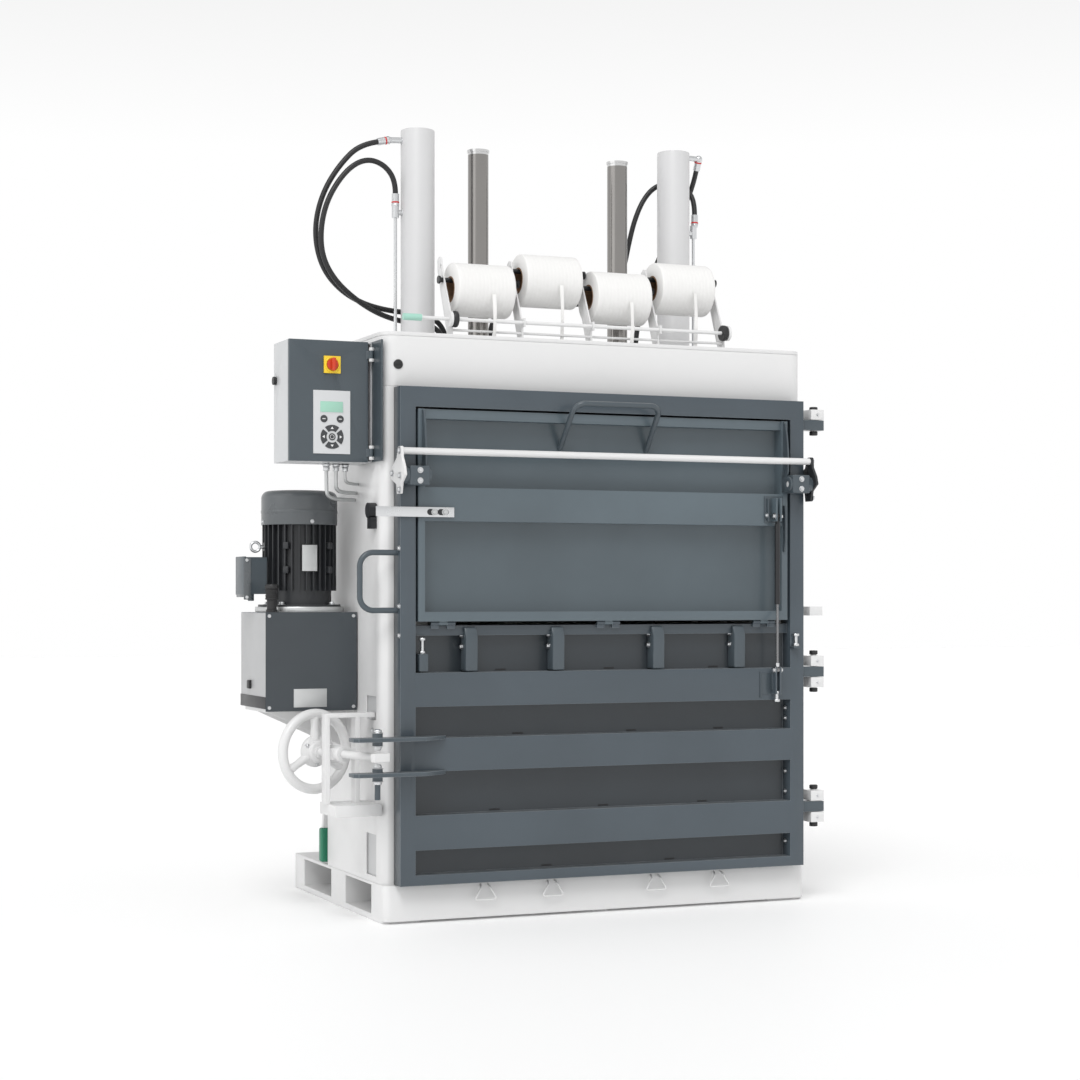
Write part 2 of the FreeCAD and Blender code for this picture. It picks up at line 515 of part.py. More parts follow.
def locking_bar():
    hubs, cams, bores = [], [], []
    for side, sign in (("left", -1), ("right", 1)):
        def span(near, far):
            return (f"-({far})", f"-({near})") if sign < 0 else (near, far)

        hub = span("flapHalf - flapSide", "doorHalf + camGap - 1")
        hubs.append(rod(f"{side}_hub", "x", "hubRadius", hub, "barPinY", "barPinZ"))
        hubs.append(box(f"{side}_hub_foot", span("flapHalf - flapSide", "flapHalf"), ("barPinY", "flapFront"), ("barPinZ - hubRadius", "barPinZ + hubRadius")))
        bores.append(rod(f"{side}_hub_bore", "x", "barPin + runFit", span("flapHalf - flapSide - 1", "doorHalf + camGap"), "barPinY", "barPinZ"))
        points = [
            ("barY - 16", "barZ + 14"), ("barY + 16", "barZ + 14"), ("barY + 30", "barZ - 20"), ("barY + 86", "barPinZ + 22"),
            ("barY + 84", "barPinZ - 6"), ("barY + 34", "barPinZ - 26"), ("barY + 28", "barPinZ - 56"), ("barY - 6", "barPinZ - 56"),
            ("barY - 16", "barPinZ - 22"), ("barY - 48", "barPinZ"), ("barY - 40", "barPinZ + 26"), ("barY - 18", "barZ - 20"),
        ]
        low, high = span("doorHalf + camGap", "doorHalf + camGap + camThick")
        cams.append(profile(f"{side}_cam", "YZ", points, low, high, [(0, 10), (1, 10), (3, 8), (4, 8)]))
        cams.append(rod(f"{side}_cam_pin", "x", "barPin", span("flapHalf - flapSide + 2", "doorHalf + camGap + 1"), "barPinY", "barPinZ"))
    long_bar = rod("cross_bar", "x", "barRadius", ("-doorHalf - camGap", "doorHalf + camGap"), "barY", "barZ")
    fuse("locking_bar", [long_bar] + cams)
    cut("bar_bearings", group("bar_hubs", [fuse("left_bearing", hubs[:2]), fuse("right_bearing", hubs[2:])]), bores)


def gas_strut():
    across = ("strutX - eyeWide / 2", "strutX + eyeWide / 2")
    outside = fuse("strut_outside", [
        rod("strut_barrel", "z", "strutTube", ("strutTubeEnd", "strutTop - 2 * strutTube - 8"), "strutX", "strutY"),
        box("strut_neck", across, ("strutY - 5", "strutY + 5"), ("strutTop - 2 * strutTube - 9", "strutTop")),
        rod("strut_upper_eye", "x", "strutEye", across, "strutY", "strutTop"),
    ])
    cut("strut_tube", outside, [
        rod("strut_eye_bore", "x", "strutPin + runFit", ("strutX - eyeWide", "strutX + eyeWide"), "strutY", "strutTop"),
        rod("strut_gas_bore", "z", "strutBore", ("strutTubeEnd + 12", "strutTop - 2 * strutTube - 12"), "strutX", "strutY"),
        rod("strut_rod_bore", "z", "strutRod + runFit", ("strutTubeEnd - 1", "strutTubeEnd + 13"), "strutX", "strutY"),
    ])
    fuse("strut_rod", [
        rod("strut_bar", "z", "strutRod", ("strutFoot + strutEye - 3", "strutTubeEnd + 30"), "strutX", "strutY"),
        rod("strut_lower_eye", "x", "strutEye", across, "strutY", "strutFoot"),
    ])


# ---------------------------------------------------------------- door lock
def lock_axis():
    turn = math.radians(value("lockTurn"))
    start = Vector(value("lockX"), value("lockY"), value("lockZ"))
    return start, Vector(-math.sin(turn), math.cos(turn), 0)


def door_lock():
    start, along = lock_axis()
    across = Vector(along.y, -along.x, 0)
    up = Vector(0, 0, 1)
    radius, half, tall, deep = (value(n) for n in ("spindleRadius", "teeHalf", "teeTall", "teeDeep"))
    matrix = FreeCAD.Placement(start, FreeCAD.Rotation(Vector(0, 0, 1), value("lockTurn")))
    tee = Part.makeBox(2 * half, deep, 2 * tall, Vector(-half, -deep / 2, -tall))
    tee = tee.makeFillet(3, tee.Edges)
    tee.Placement = matrix
    stem = bar_between(start, start + along * value("spindleLong"), radius)
    collar_at = value("wheelAway") - value("wheelHub") - 12
    collar = bar_between(start + along * collar_at, start + along * (collar_at + 11.7), radius + 8)
    solid("lock_spindle", tee.fuse([stem, collar]).removeSplitter())

    centre = start + along * value("wheelAway")
    ring, tube_radius, hub = value("wheelRadius"), value("wheelTube"), value("wheelHub")
    rim = Part.makeTorus(ring, tube_radius, centre, along)
    spokes = [rim, bar_between(centre - along * hub, centre + along * hub, hub)]
    for i in range(3):
        angle = math.radians(90 + 120 * i)
        way = across * math.cos(angle) + up * math.sin(angle)
        spokes.append(bar_between(centre, centre + way * ring, 9))
    wheel = spokes[0].fuse(spokes[1:])
    wheel = wheel.cut(bar_between(centre - along * 60, centre + along * 60, radius + value("runFit")))
    solid("handwheel", wheel)

    loop = [
        box("yoke_left", ("yokeLeft", "yokeLeft + yokeBar"), ("yokeFront", "yokeBack"), ("yokeLow", "yokeHigh")),
        box("yoke_right", ("yokeRight - yokeBar", "yokeRight"), ("yokeFront", "yokeBack"), ("yokeLow", "yokeHigh")),
        box("yoke_top", ("yokeLeft", "-bodyHalf"), ("yokeFront", "yokeBack"), ("yokeHigh - yokeBar", "yokeHigh")),
        box("yoke_ledge", ("yokeLeft + 10", "-bodyHalf"), ("ledgeFront", "ledgeBack"), ("ledgeLow", "yokeLow")),
        box("yoke_cross", ("yokeLeft", "yokeRight"), ("yokeFront + 8", "yokeBack - 8"), ("lockZ - 18", "lockZ + 18")),
    ]
    frame = fuse("yoke_frame", loop)
    middle = start + along * ((value("(yokeFront + yokeBack) / 2") - start.y) / along.y)
    boss = solid("yoke_boss", bar_between(middle - along * 34, middle + along * 34, radius + 14))
    bore = solid("yoke_bore", bar_between(middle - along * 90, middle + along * 90, radius + value("runFit")))
    cut("lock_yoke", fuse("yoke_and_boss", [frame, boss]), [bore])

    plates = []
    for name in ("plateUpper", "plateLower"):
        points = [("plateRight", "doorFront"), ("plateRight - 10", "doorFront - 12"), ("plateRight - 85", "plateReach"), ("plateLeft + 14", "plateReach"),
                  ("plateLeft", "plateReach + 14"), ("plateLeft", "doorFront - 6"), ("-doorHalf", "doorFront - 6"), ("-doorHalf", "doorFront")]
        plates.append(profile(f"{name}_sheet", "XY", points, name, f"{name} + lockPlate", [(2, 20)]))
    upper_tip, lower_tip = "lockZ + jawHalf", "lockZ - jawHalf"
    shanks = [
        rod("upper_bolt", "z", "boltRadius", (upper_tip, "plateUpper + lockPlate + 26"), "boltX", "boltY"),
        rod("upper_bolt_nut", "z", "boltNut", ("plateUpper - 13", "plateUpper"), "boltX", "boltY"),
        rod("upper_bolt_head", "z", "boltNut", ("plateUpper + lockPlate", "plateUpper + lockPlate + 14"), "boltX", "boltY"),
    ]
    lower = [
        rod("lower_bolt", "z", "boltRadius", ("plateLower - 72", lower_tip), "boltX", "boltY"),
        rod("lower_bolt_nut", "z", "boltNut", ("plateLower + lockPlate", "plateLower + lockPlate + 13"), "boltX", "boltY"),
        rod("lower_bolt_head", "z", "boltNut", ("plateLower - 14", "plateLower"), "boltX", "boltY"),
    ]
    fuse("lock_plates", plates + shanks + lower)


# ---------------------------------------------------------------- power pack
def power_pack():
    corners = [("tankLeft", "tankFront"), ("tankRight", "tankFront"), ("tankRight", "tankBack"), ("tankLeft", "tankBack")]
    outside = profile("tank_outside", "XY", corners, "tankLow", "tankHigh", [(i, "tankRound") for i in range(4)])
    hollow = box("tank_hollow", ("tankLeft + tankSheet", "tankRight - tankSheet"), ("tankFront + tankSheet", "tankBack - tankSheet"), ("tankLow + tankSheet", "tankHigh - tankSheet"))
    mouth = rod("tank_mouth", "z", "pumpRadius + 10", ("tankHigh - tankSheet - 1", "tankHigh + 1"), "motorX", "motorY")
    cut("tank", outside, [hollow, mouth])

    plate = box("bracket_plate", ("tankLeft + 12", "-bodyHalf"), ("tankFront + 20", "tankBack - 12"), ("tankLow - 12", "tankLow"))
    back = box("bracket_back", ("-bodyHalf - 8", "-bodyHalf"), ("tankFront + 20", "tankBack - 12"), ("tankLow - 140", "tankLow"))
    gussets = []
    for i, low in enumerate(("tankFront + 90", "tankBack - 52")):
        points = [("-bodyHalf - 8", "tankLow - 12"), ("tankLeft + 30", "tankLow - 12"), ("-bodyHalf - 8", "tankLow - 136")]
        gussets.append(profile(f"gusset{i}", "XZ", points, low, f"{low} + 8"))
    fuse("tank_bracket", [plate, back] + gussets)

    core = fuse("motor_core", [
        rod("motor_flange", "z", "motorFlange", ("tankHigh", "flangeHigh"), "motorX", "motorY"),
        rod("motor_bell", "z", "statorRadius", ("flangeHigh", "bellHigh"), "motorX", "motorY"),
        rod("motor_stator", "z", "statorRadius", ("bellHigh", "statorHigh"), "motorX", "motorY"),
        rod("eye_boss", "x", 14, ("motorX - finRadius", "motorX - statorRadius + 5"), "motorY", 1187),
        box("box_boss", ("motorX - finRadius - 2", "motorX - statorRadius + 8"), ("motorY - 34", "motorY + 34"), ("boxLow + 12", "boxHigh - 12")),
    ])
    fins = []
    for i in range(int(value("finCount"))):
        fin = doc.addObject("Part::Box", f"fin{i}")
        bind(fin, Length="finRadius - statorRadius + 3", Width="finThick", Height="statorHigh - bellHigh")
        angle = math.radians(360 * (i + 0.5) / value("finCount"))
        fin.Placement.Rotation = FreeCAD.Rotation(Vector(0, 0, 1), math.degrees(angle))
        spot = (
            f"motorX + (statorRadius - 3) * {math.cos(angle):.6f} + finThick / 2 * {math.sin(angle):.6f}",
            f"motorY + (statorRadius - 3) * {math.sin(angle):.6f} - finThick / 2 * {math.cos(angle):.6f}",
            "bellHigh",
        )
        fins.append(place(fin, spot))
    bore = rod("motor_bore", "z", "shaftRadius + runFit", ("tankHigh - 1", "statorHigh + 1"), "motorX", "motorY")
    cut("motor_body", fuse("motor_finned", [core] + fins), [bore])

    cowl = rod("cowl_outside", "z", "cowlRadius", ("statorHigh", "cowlTop"), "motorX", "motorY")
    rounded = doc.addObject("Part::Fillet", "cowl_rounded")
    doc.recompute()
    rounded.Base = cowl
    top_edge = next(i for i, e in enumerate(cowl.Shape.Edges, 1) if e.BoundBox.ZMin > value("cowlTop") - 0.1)
    rounded.Edges = [(top_edge, value("cowlRound"), value("cowlRound"))]
    tools = [rod("cowl_hollow", "z", "cowlRadius - cowlSheet", ("statorHigh - 1", "cowlTop - cowlRound"), "motorX", "motorY"),
             rod("cowl_crown", "z", "cowlRadius - cowlRound", ("cowlTop - cowlRound - 1", "cowlTop - cowlSheet"), "motorX", "motorY")]
    for i in range(int(value("cowlSlots"))):
        slot = Part.makeBox(52, 6, 20, Vector(24, -3, value("cowlTop") - 12))
        slot.rotate(Vector(), Vector(0, 0, 1), 360 * i / value("cowlSlots"))
        slot.translate(Vector(value("motorX"), value("motorY"), 0))
        tools.append(solid(f"cowl_slot{i}", slot))
    cut("fan_cover", rounded, tools)

    fuse("motor_rotor", [
        rod("rotor_shaft", "z", "shaftRadius", ("tankHigh - 40", "statorHigh + 60"), "motorX", "motorY"),
        rod("fan_hub", "z", 30, ("statorHigh + 20", "statorHigh + 60"), "motorX", "motorY"),
    ] + [fan_blade(i) for i in range(7)])

    pump = fuse("pump_outside", [
        rod("pump_body", "z", "pumpRadius", ("tankHigh - 190", "tankHigh - 46"), "motorX", "motorY"),
        rod("pump_bell", "z", "pumpRadius + 8", ("tankHigh - 47", "tankHigh"), "motorX", "motorY"),
        rod("suction_pipe", "z", 12, ("tankLow + 40", "tankHigh - 180"), "motorX + 26", "motorY"),
    ])
    cut("oil_pump", pump, [rod("pump_bore", "z", "shaftRadius + 6", ("tankHigh - 46", "tankHigh + 1"), "motorX", "motorY")])

    lid = box("box_lid", ("boxLeft", "boxLeft + 8"), ("motorY - boxHalf - 2", "motorY + boxHalf + 2"), ("boxLow - 2", "boxHigh + 2"))
    shell = box("box_shell", ("boxLeft + 8", "motorX - finRadius - 2"), ("motorY - boxHalf", "motorY + boxHalf"), ("boxLow", "boxHigh"))
    gland = rod("box_gland", "z", 10, ("boxLow - 22", "boxLow"), "boxLeft + 32", "motorY - 20")
    fuse("terminal_box", [lid, shell, gland])

    eye = Part.makeTorus(15, 4.5, Vector(value("motorX - finRadius") - 28, value("motorY"), 1187), Vector(0, 1, 0))
    shank = Part.makeCylinder(6, 10, Vector(value("motorX - finRadius") - 10, value("motorY"), 1187), Vector(1, 0, 0))
    solid("eye_bolt", eye.fuse(shank))
    fuse("breather", [
        rod("breather_neck", "z", 15, ("tankHigh", 1038), "breatherX", "breatherY"),
        rod("breather_cap", "z", 22, (1037, 1066), "breatherX", "breatherY"),
    ])


def fan_blade(number):
    blade = Part.makeBox(value("fanRadius") - 28, 3, 30, Vector(28, -1.5, value("statorHigh") + 24))
    blade.rotate(Vector(), Vector(0, 0, 1), 360 / 7 * number)
    blade.translate(Vector(value("motorX"), value("motorY"), 0))
    return solid(f"fan_blade{number}", blade)


# ---------------------------------------------------------------- control cabinet
def cabinet():
    right = "-bodyHalf - mountThick"
    outer = box("cabinet_outside", ("cabinetLeft", right), ("cabinetFront + cabinetDoor", "cabinetBack"), ("cabinetLow", "cabinetHigh"))
    inner = box("cabinet_hollow", ("cabinetLeft + cabinetSheet", f"{right} - cabinetSheet"), ("cabinetFront", "cabinetBack - cabinetSheet"), ("cabinetLow + cabinetSheet", "cabinetHigh - cabinetSheet"))
    entry = rod("cabinet_entry", "z", 22, ("cabinetLow - 1", "cabinetLow + cabinetSheet + 1"), "cabinetLeft + 215", "cabinetBack - 50")
    key_hole = rod("key_hole", "x", f"9 + runFit", ("cabinetLeft - 1", "cabinetLeft + cabinetSheet + 1"), "lockKeyY", "lockKeyZ")
    cut("cabinet_box", outer, [inner, entry, key_hole])
    fuse("side_lock", [
        rod("key_barrel", "x", 9, ("cabinetLeft - 4", "cabinetLeft + 30"), "lockKeyY", "lockKeyZ"),
        rod("key_face", "x", 13, ("cabinetLeft - 10", "cabinetLeft - 0.3"), "lockKeyY", "lockKeyZ"),
        box("key_cam", ("cabinetLeft + 24", "cabinetLeft + 28"), ("lockKeyY - 8", "lockKeyY + 8"), ("lockKeyZ - 6", "lockKeyZ + 34")),
    ])

    mount = [box("mount_sheet", (right, "-bodyHalf"), ("bodyFront", "cabinetBack"), ("cabinetLow + 2", "cabinetHigh + 2"))]
    leaves, bores = [], []
    for i, middle in enumerate(("cabinetLow + 30", "cabinetHigh - 40")):
        mount.append(rod(f"cabinet_pin{i}", "z", "cabinetPin", (f"{middle} - 22", f"{middle} + 22"), "cabinetPinX", "cabinetPinY"))
        for k, (low, high) in enumerate(((-22, -12.5), (12.5, 22))):
            span = (f"{middle} + {low}", f"{middle} + {high}")
            mount.append(rod(f"cabinet_knuckle{i}{k}", "z", "cabinetPin + 3", span, "cabinetPinX", "cabinetPinY"))
            mount.append(box(f"cabinet_arm{i}{k}", ("cabinetPinX", f"{right} + 1"), ("cabinetPinY - 3", "cabinetPinY + 3"), span))
        span = (f"{middle} - 12", f"{middle} + 12")
        leaves.append(rod(f"cabinet_leaf{i}", "z", "cabinetPin + 3", span, "cabinetPinX", "cabinetPinY"))
        leaves.append(box(f"cabinet_leaf_arm{i}", ("cabinetPinX - 14", "cabinetPinX"), ("cabinetPinY + 1", "cabinetFront + 4"), span))
        bores.append(rod(f"cabinet_bore{i}", "z", "cabinetPin + runFit", (f"{middle} - 13", f"{middle} + 13"), "cabinetPinX", "cabinetPinY"))
    fuse("cabinet_mount", mount)
    door_right = "cabinetPinX - 9"
    panel = box("cabinet_panel", ("cabinetLeft", door_right), ("cabinetFront", "cabinetFront + cabinetDoor - 1"), ("cabinetLow", "cabinetHigh"))
    recess = box("cabinet_recess", ("cabinetLeft + cabinetSheet", f"{door_right} - cabinetSheet"), ("cabinetFront + 3", "cabinetFront + cabinetDoor"), ("cabinetLow + cabinetSheet", "cabinetHigh - cabinetSheet"))
    stem_hole = rod("stem_hole", "y", "5 + runFit", ("cabinetFront - 1", "cabinetFront + 5"), "switchX", "switchZ")
    lipped = cut("cabinet_lipped", panel, [recess, stem_hole])
    cut("cabinet_door", fuse("cabinet_hung", [lipped] + leaves), bores)

    face = "cabinetFront - keypadThick"
    keypad = [box("keypad_sheet", ("keypadLeft", "keypadRight"), (face, "cabinetFront"), ("keypadLow", "keypadHigh"))]
    keypad.append(box("display_pane", ("keypadLeft + 22", "keypadRight - 24"), (f"{face} - 0.8", face), (1601, 1638)))
    for i, across in enumerate((-27, 27)):
        keypad.append(rod(f"round_key{i}", "y", 11, (f"{face} - 0.8", face), f"switchX + {across}", 1582))
    keypad.append(rod("stop_key", "y", 10.5, (f"{face} - 0.8", face), "switchX", "ringZ"))
    fuse("keypad_panel", keypad)

    plate = box("switch_square", ("switchX - switchHalf", "switchX + switchHalf"), ("cabinetFront - switchPlate", "cabinetFront"), ("switchZ - switchHalf", "switchZ + switchHalf"))
    hole = rod("switch_hole", "y", "5 + runFit", ("cabinetFront - switchPlate - 1", "cabinetFront + 1"), "switchX", "switchZ")
    cut("switch_plate", plate, [hole])
    base = "cabinetFront - switchPlate - 0.3"
    fuse("switch_knob", [
        rod("knob_stem", "y", 5, (f"{base} - 4", "cabinetFront + 20"), "switchX", "switchZ"),
        rod("knob_disc", "y", "knobRadius", (f"{base} - 8", base), "switchX", "switchZ"),
        box("knob_grip", ("switchX - 5.5", "switchX + 5.5"), (f"{base} - 22", f"{base} - 7"), ("switchZ - knobRadius + 1", "switchZ + knobRadius - 1")),
    ])


# ---------------------------------------------------------------- strap rolls
def rolls():
    plates = []
    holes = []
    axles = []
    for i in range(5):
        middle = f"rackX + {i - 2} * rackPitch"
        points = [
            ("rackFoot", "deckTop"), ("rackFoot + rackFootWide", "deckTop"), ("rackTopY + 16", "rackTop - 40"), ("rackTopY + 20", "rackTop"),
            ("rackTopY + 4", "rackTop + 10"), ("rackTopY - 14", "rackTop + 4"), ("rackTopY - 26", "rackTop - 42"), ("rackFoot + 6", "deckTop + 60"),
        ]
        plate = profile(f"rack_plate{i}", "YZ", points, f"{middle} - rackSheet / 2", f"{middle} + rackSheet / 2", [(0, 8), (3, 6), (4, 6)])
        across = (f"{middle} - rackSheet", f"{middle} + rackSheet")
        tools = [
            rod(f"low_hole{i}", "x", "axleRadius + wallFit", across, "lowRollY", "lowRollZ + coreRadius - axleRadius - wallFit"),
            rod(f"high_hole{i}", "x", "axleRadius + wallFit", across, "highRollY", "highRollZ + coreRadius - axleRadius - wallFit"),
            rod(f"shaft_hole{i}", "x", "shaftRod + runFit", across, "shaftY", "shaftZ"),
        ]
        holder = box(f"shaft_lug{i}", (f"{middle} - rackSheet / 2", f"{middle} + rackSheet / 2"), ("shaftY - 12", "rackFoot + rackFootWide"), ("shaftZ - 14", "shaftZ + 14"))
        foot = box(f"rack_foot{i}", (f"{middle} - 14", f"{middle} + 14"), ("rackFoot", "rackFoot + rackFootWide"), ("deckTop", "deckTop + 6"))
        plates.append(cut(f"rack_side{i}", fuse(f"rack_blank{i}", [plate, holder, foot]), tools))
    rail = rod("rack_rail", "x", 4, ("rackX - 2 * rackPitch", "rackX + 2 * rackPitch"), "rackFoot + 10", "railZ")
    fuse("rack_plates", plates + [rail])

    for i in range(4):
        name = "low" if i % 2 == 0 else "high"
        middle = f"rackX + {i - 1.5} * rackPitch"
        y, z = f"{name}RollY", f"{name}RollZ"
        span = (f"{middle} - rollWide / 2", f"{middle} + rollWide / 2")
        barrel = rod(f"roll_outside{i}", "x", "rollRadius", span, y, z)
        core = rod(f"roll_core{i}", "x", "coreRadius", (f"{span[0]} - 1", f"{span[1]} + 1"), y, z)
        cut(f"strap_roll_{i + 1}", barrel, [core])
        left, right = f"{middle} - rackPitch / 2 - axleOut", f"{middle} + rackPitch / 2 + axleOut"
        axle_z = f"{z} + coreRadius - axleRadius - wallFit"
        axles.append(fuse(f"axle{i}", [
            rod(f"axle_bar{i}", "x", "axleRadius", (left, right), y, axle_z),
            rod(f"axle_left{i}", "x", "axleHead", (f"{left} - headThick", left), y, axle_z),
            rod(f"axle_right{i}", "x", "axleHead", (right, f"{right} + headThick"), y, axle_z),
        ]))
    group("roll_axles", axles)

    first, last = "rackX - 2 * rackPitch", "rackX + 2 * rackPitch"
    fuse("brake_shaft", [
        rod("shaft_bar", "x", "shaftRod", ("shaftLeft", f"{last} + 14"), "shaftY", "shaftZ"),
        rod("shaft_left_disc", "x", "discRadius", (f"{first} - 14", f"{first} - 5"), "shaftY", "shaftZ"),
        rod("shaft_right_disc", "x", "discRadius", (f"{last} + 5", f"{last} + 14"), "shaftY", "shaftZ"),
        rod("shaft_grip", "x", 11, ("shaftLeft - gripLong", "shaftLeft + 2"), "shaftY", "shaftZ"),
    ])


# ---------------------------------------------------------------- oil lines
LEFT_UPPER = [
    (-620, 40, 2541), (-680, 42, 2528), (-745, 46, 2462), (-800, 50, 2375), (-829, 54, 2280), (-829, 58, 2190),
    (-800, 62, 2105), (-738, 70, 2042), (-655, 90, 2006), (-560, 120, 1992), (-465, 140, 1990), (-390, 148, 1982),
    (-345, 150, 1948), (-332, 150, 1902),
]
LEFT_LOWER = [
    (-557, 40, 2372), (-557, 40, 2414), (-591, 36, 2461), (-647, 30, 2480), (-703, 24, 2461), (-756, 22, 2408),
    (-803, 22, 2326), (-823, 24, 2233), (-815, 28, 2143), (-770, 35, 2071), (-697, 52, 2016), (-608, 84, 1976),
    (-512, 116, 1956), (-430, 118, 1954), (-376, 112, 1936), (-362, 108, 1902),
]
RIGHT_LONG = [
    (562, 40, 2376), (564, 44, 2426), (548, 72, 2474), (505, 106, 2500), (448, 124, 2486), (402, 126, 2436),
    (366, 122, 2360), (342, 118, 2276), (322, 114, 2190), (290, 112, 2112), (228, 110, 2066), (140, 110, 2046),
    (44, 112, 2042), (-44, 114, 2052), (-112, 118, 2046), (-160, 120, 2006), (-184, 120, 1950), (-190, 120, 1902),
]
RIGHT_SHORT = [
    (580, 62, 2540), (578, 84, 2488), (556, 116, 2412), (516, 134, 2328), (474, 140, 2240), (434, 138, 2150),
    (400, 132, 2060), (378, 128, 1980), (370, 126, 1902),
]


def oil_lines():
    hose_radius, ferrule_radius, ferrule_long = 9, 12, 40
    pieces = []
    top = value("deckTop")
    for name, points in (("left_hose_upper", LEFT_UPPER), ("left_hose_lower", LEFT_LOWER), ("right_hose", RIGHT_LONG), ("cross_hose", RIGHT_SHORT)):
        solid(name, tube(points, hose_radius, name=name))
        for end, inner in ((points[0], points[1]), (points[-1], points[-2])):
            tip, heading = Vector(*end), Vector(*end) - Vector(*inner)
            heading.normalize()
            pieces.append(bar_between(tip, tip + heading * ferrule_long, ferrule_radius))
        port = Vector(*points[-1])
        pieces[-1] = pieces[-1].fuse(Part.makeCylinder(17, 8, Vector(port.x, port.y, top)))
        pieces[-1] = pieces[-1].cut(Part.makeBox(200, 200, 100, Vector(port.x - 100, port.y - 100, top - 100)))
        reach = Part.makeCylinder(ferrule_radius - 2, port.z - ferrule_long + 8 - top, Vector(port.x, port.y, top))
        pieces[-1] = pieces[-1].fuse(reach)

    y = value("pressY")
    skin = value("cylinderX + tubeRadius")
    first = Vector(*LEFT_UPPER[0])
    heading = first - Vector(*LEFT_UPPER[1])
    heading.normalize()
    joint = first + heading * ferrule_long
    pieces[0] = pieces[0].fuse([bar_between(joint, Vector(-skin + 2, y, joint.z + 3), 10), Part.makeSphere(12, joint)])
    tee_z, pipe_x = 2292, skin + 22
    feet = Vector(0, 0, value("flangeTall"))
    for sign, place_in in ((-1, 2), (1, 4)):
        stem = bar_between(Vector(sign * pipe_x, y, top), Vector(sign * pipe_x, y, 2332), 5.5)
        body = Part.makeCylinder(12, 46, Vector(sign * pipe_x, y, tee_z))
        arm = bar_between(Vector(sign * pipe_x, y, tee_z + 18), Vector(sign * (skin - 2), y, tee_z + 18), 9)
        collar = Part.makeCylinder(11, 14, Vector(sign * pipe_x, y, top) + feet)
        pieces[place_in] = pieces[place_in].fuse([stem, body, arm, collar])
    last = Vector(*RIGHT_SHORT[0])
    heading = last - Vector(*RIGHT_SHORT[1])
    heading.normalize()
    elbow = last + heading * ferrule_long
    pieces[6] = pieces[6].fuse([Part.makeSphere(13, elbow), bar_between(elbow, Vector(skin - 2, y, elbow.z), 9)])
    tubes = []
    for sign in (-1, 1):
        foot = Vector(sign * value("cylinderX"), y, top)
        tubes.append(Part.makeCylinder(value("tubeFlange"), value("flangeTall"), foot))
        tubes.append(Part.makeCylinder(value("tubeRadius"), 900, foot))
    pieces = [piece.cut(tubes) for piece in pieces]
    solid("oil_fittings", Part.makeCompound([s for piece in pieces for s in piece.Solids]))


# ---------------------------------------------------------------- small parts
def small_parts():
    wires = []
    front = value("baseFront")
    radius = value("wireRadius")
    for i, middle in enumerate(("-guideOuter", "-guideInner", "guideInner", "guideOuter")):
        x = value(middle)
        loop = [(x - 12, front, 112), (x - 16, front - 18, 104), (x - 38, front - 20, 66), (x + 38, front - 20, 66), (x + 16, front - 18, 104), (x + 12, front, 112)]
        wires.append(tube(loop, radius, 0.2).common(Part.makeBox(200, 100, 200, Vector(x - 100, front - 100, 0))))
    solid("strap_guides", Part.makeCompound([s for wire in wires for s in wire.Solids]))

    fuse("door_sensor", [
        rod("sensor_head", "x", 24, ("-bodyHalf - 26", "-bodyHalf"), "bodyFront + 76", 1298),
        box("sensor_block", ("-bodyHalf - 20", "-bodyHalf"), ("bodyFront + 60", "bodyFront + 96"), (1240, 1276)),
    ])

    lever = fuse("lever_bar", [
        box("lever_flat", ("leverX - 4", "leverX + 4"), ("leverY", "leverY + 34"), ("leverGrip", "leverHigh")),
        box("lever_grip", ("leverX - 12", "leverX + 12"), ("leverY + 2", "leverY + 32"), ("leverLow", "leverGrip + 1")),
        rod("lever_hub", "x", 22, ("leverX - 4", "leverX + 16"), "leverY + 17", "leverHigh - 20"),
    ])
    bore = rod("lever_bore", "x", "9 + runFit", ("leverX - 20", "leverX + 30"), "leverY + 17", "leverHigh - 20")
    cut("ejector_lever", lever, [bore])


NODES = """base_frame left_side_wall right_side_wall chamber_liner chamber_floor header_beam top_plate left_cylinder
right_cylinder guide_bushes oil_fittings left_hose_upper left_hose_lower right_hose cross_hose cabinet_box cabinet_mount
tank tank_bracket motor_body fan_cover terminal_box eye_bolt breather oil_pump lock_yoke rack_plates roll_axles
strap_guides body_hinges door_sensor side_lock cabinet_door keypad_panel switch_plate switch_knob motor_rotor
lock_spindle handwheel strap_roll_1 strap_roll_2 strap_roll_3 strap_roll_4 brake_shaft ejector_lever
door_frame door_handle lock_plates strap_claws door_hinges bar_bearings flap_panel flap_handle sensor_bar locking_bar
strut_tube strut_rod press_plate guide_rods piston_rods""".split()

base_frame()
side_walls()
chamber()
header_and_deck()
press()
door()
door_hinges()
flap()
locking_bar()
gas_strut()
door_lock()
power_pack()
cabinet()
rolls()
oil_lines()
small_parts()
doc.recompute()

faults = [o.Label for o in doc.Objects if "Invalid" in o.State or "Error" in o.State]
if faults:
    raise SystemExit(f"these objects failed: {faults}")
os.makedirs("parts", exist_ok=True)
for node in NODES:
    shape = doc.getObject(node).Shape
    if shape.isNull() or not shape.isValid():
        raise SystemExit(f"{node} has no valid shape")
    shape.exportStep(f"parts/{node}.step")
    print(node, len(shape.Solids), "solids", round(shape.Volume / 1000), "cm3")
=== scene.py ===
# Looks for the upright baling press. Everything is in metres, X right, Y back, Z up.
import json
import math

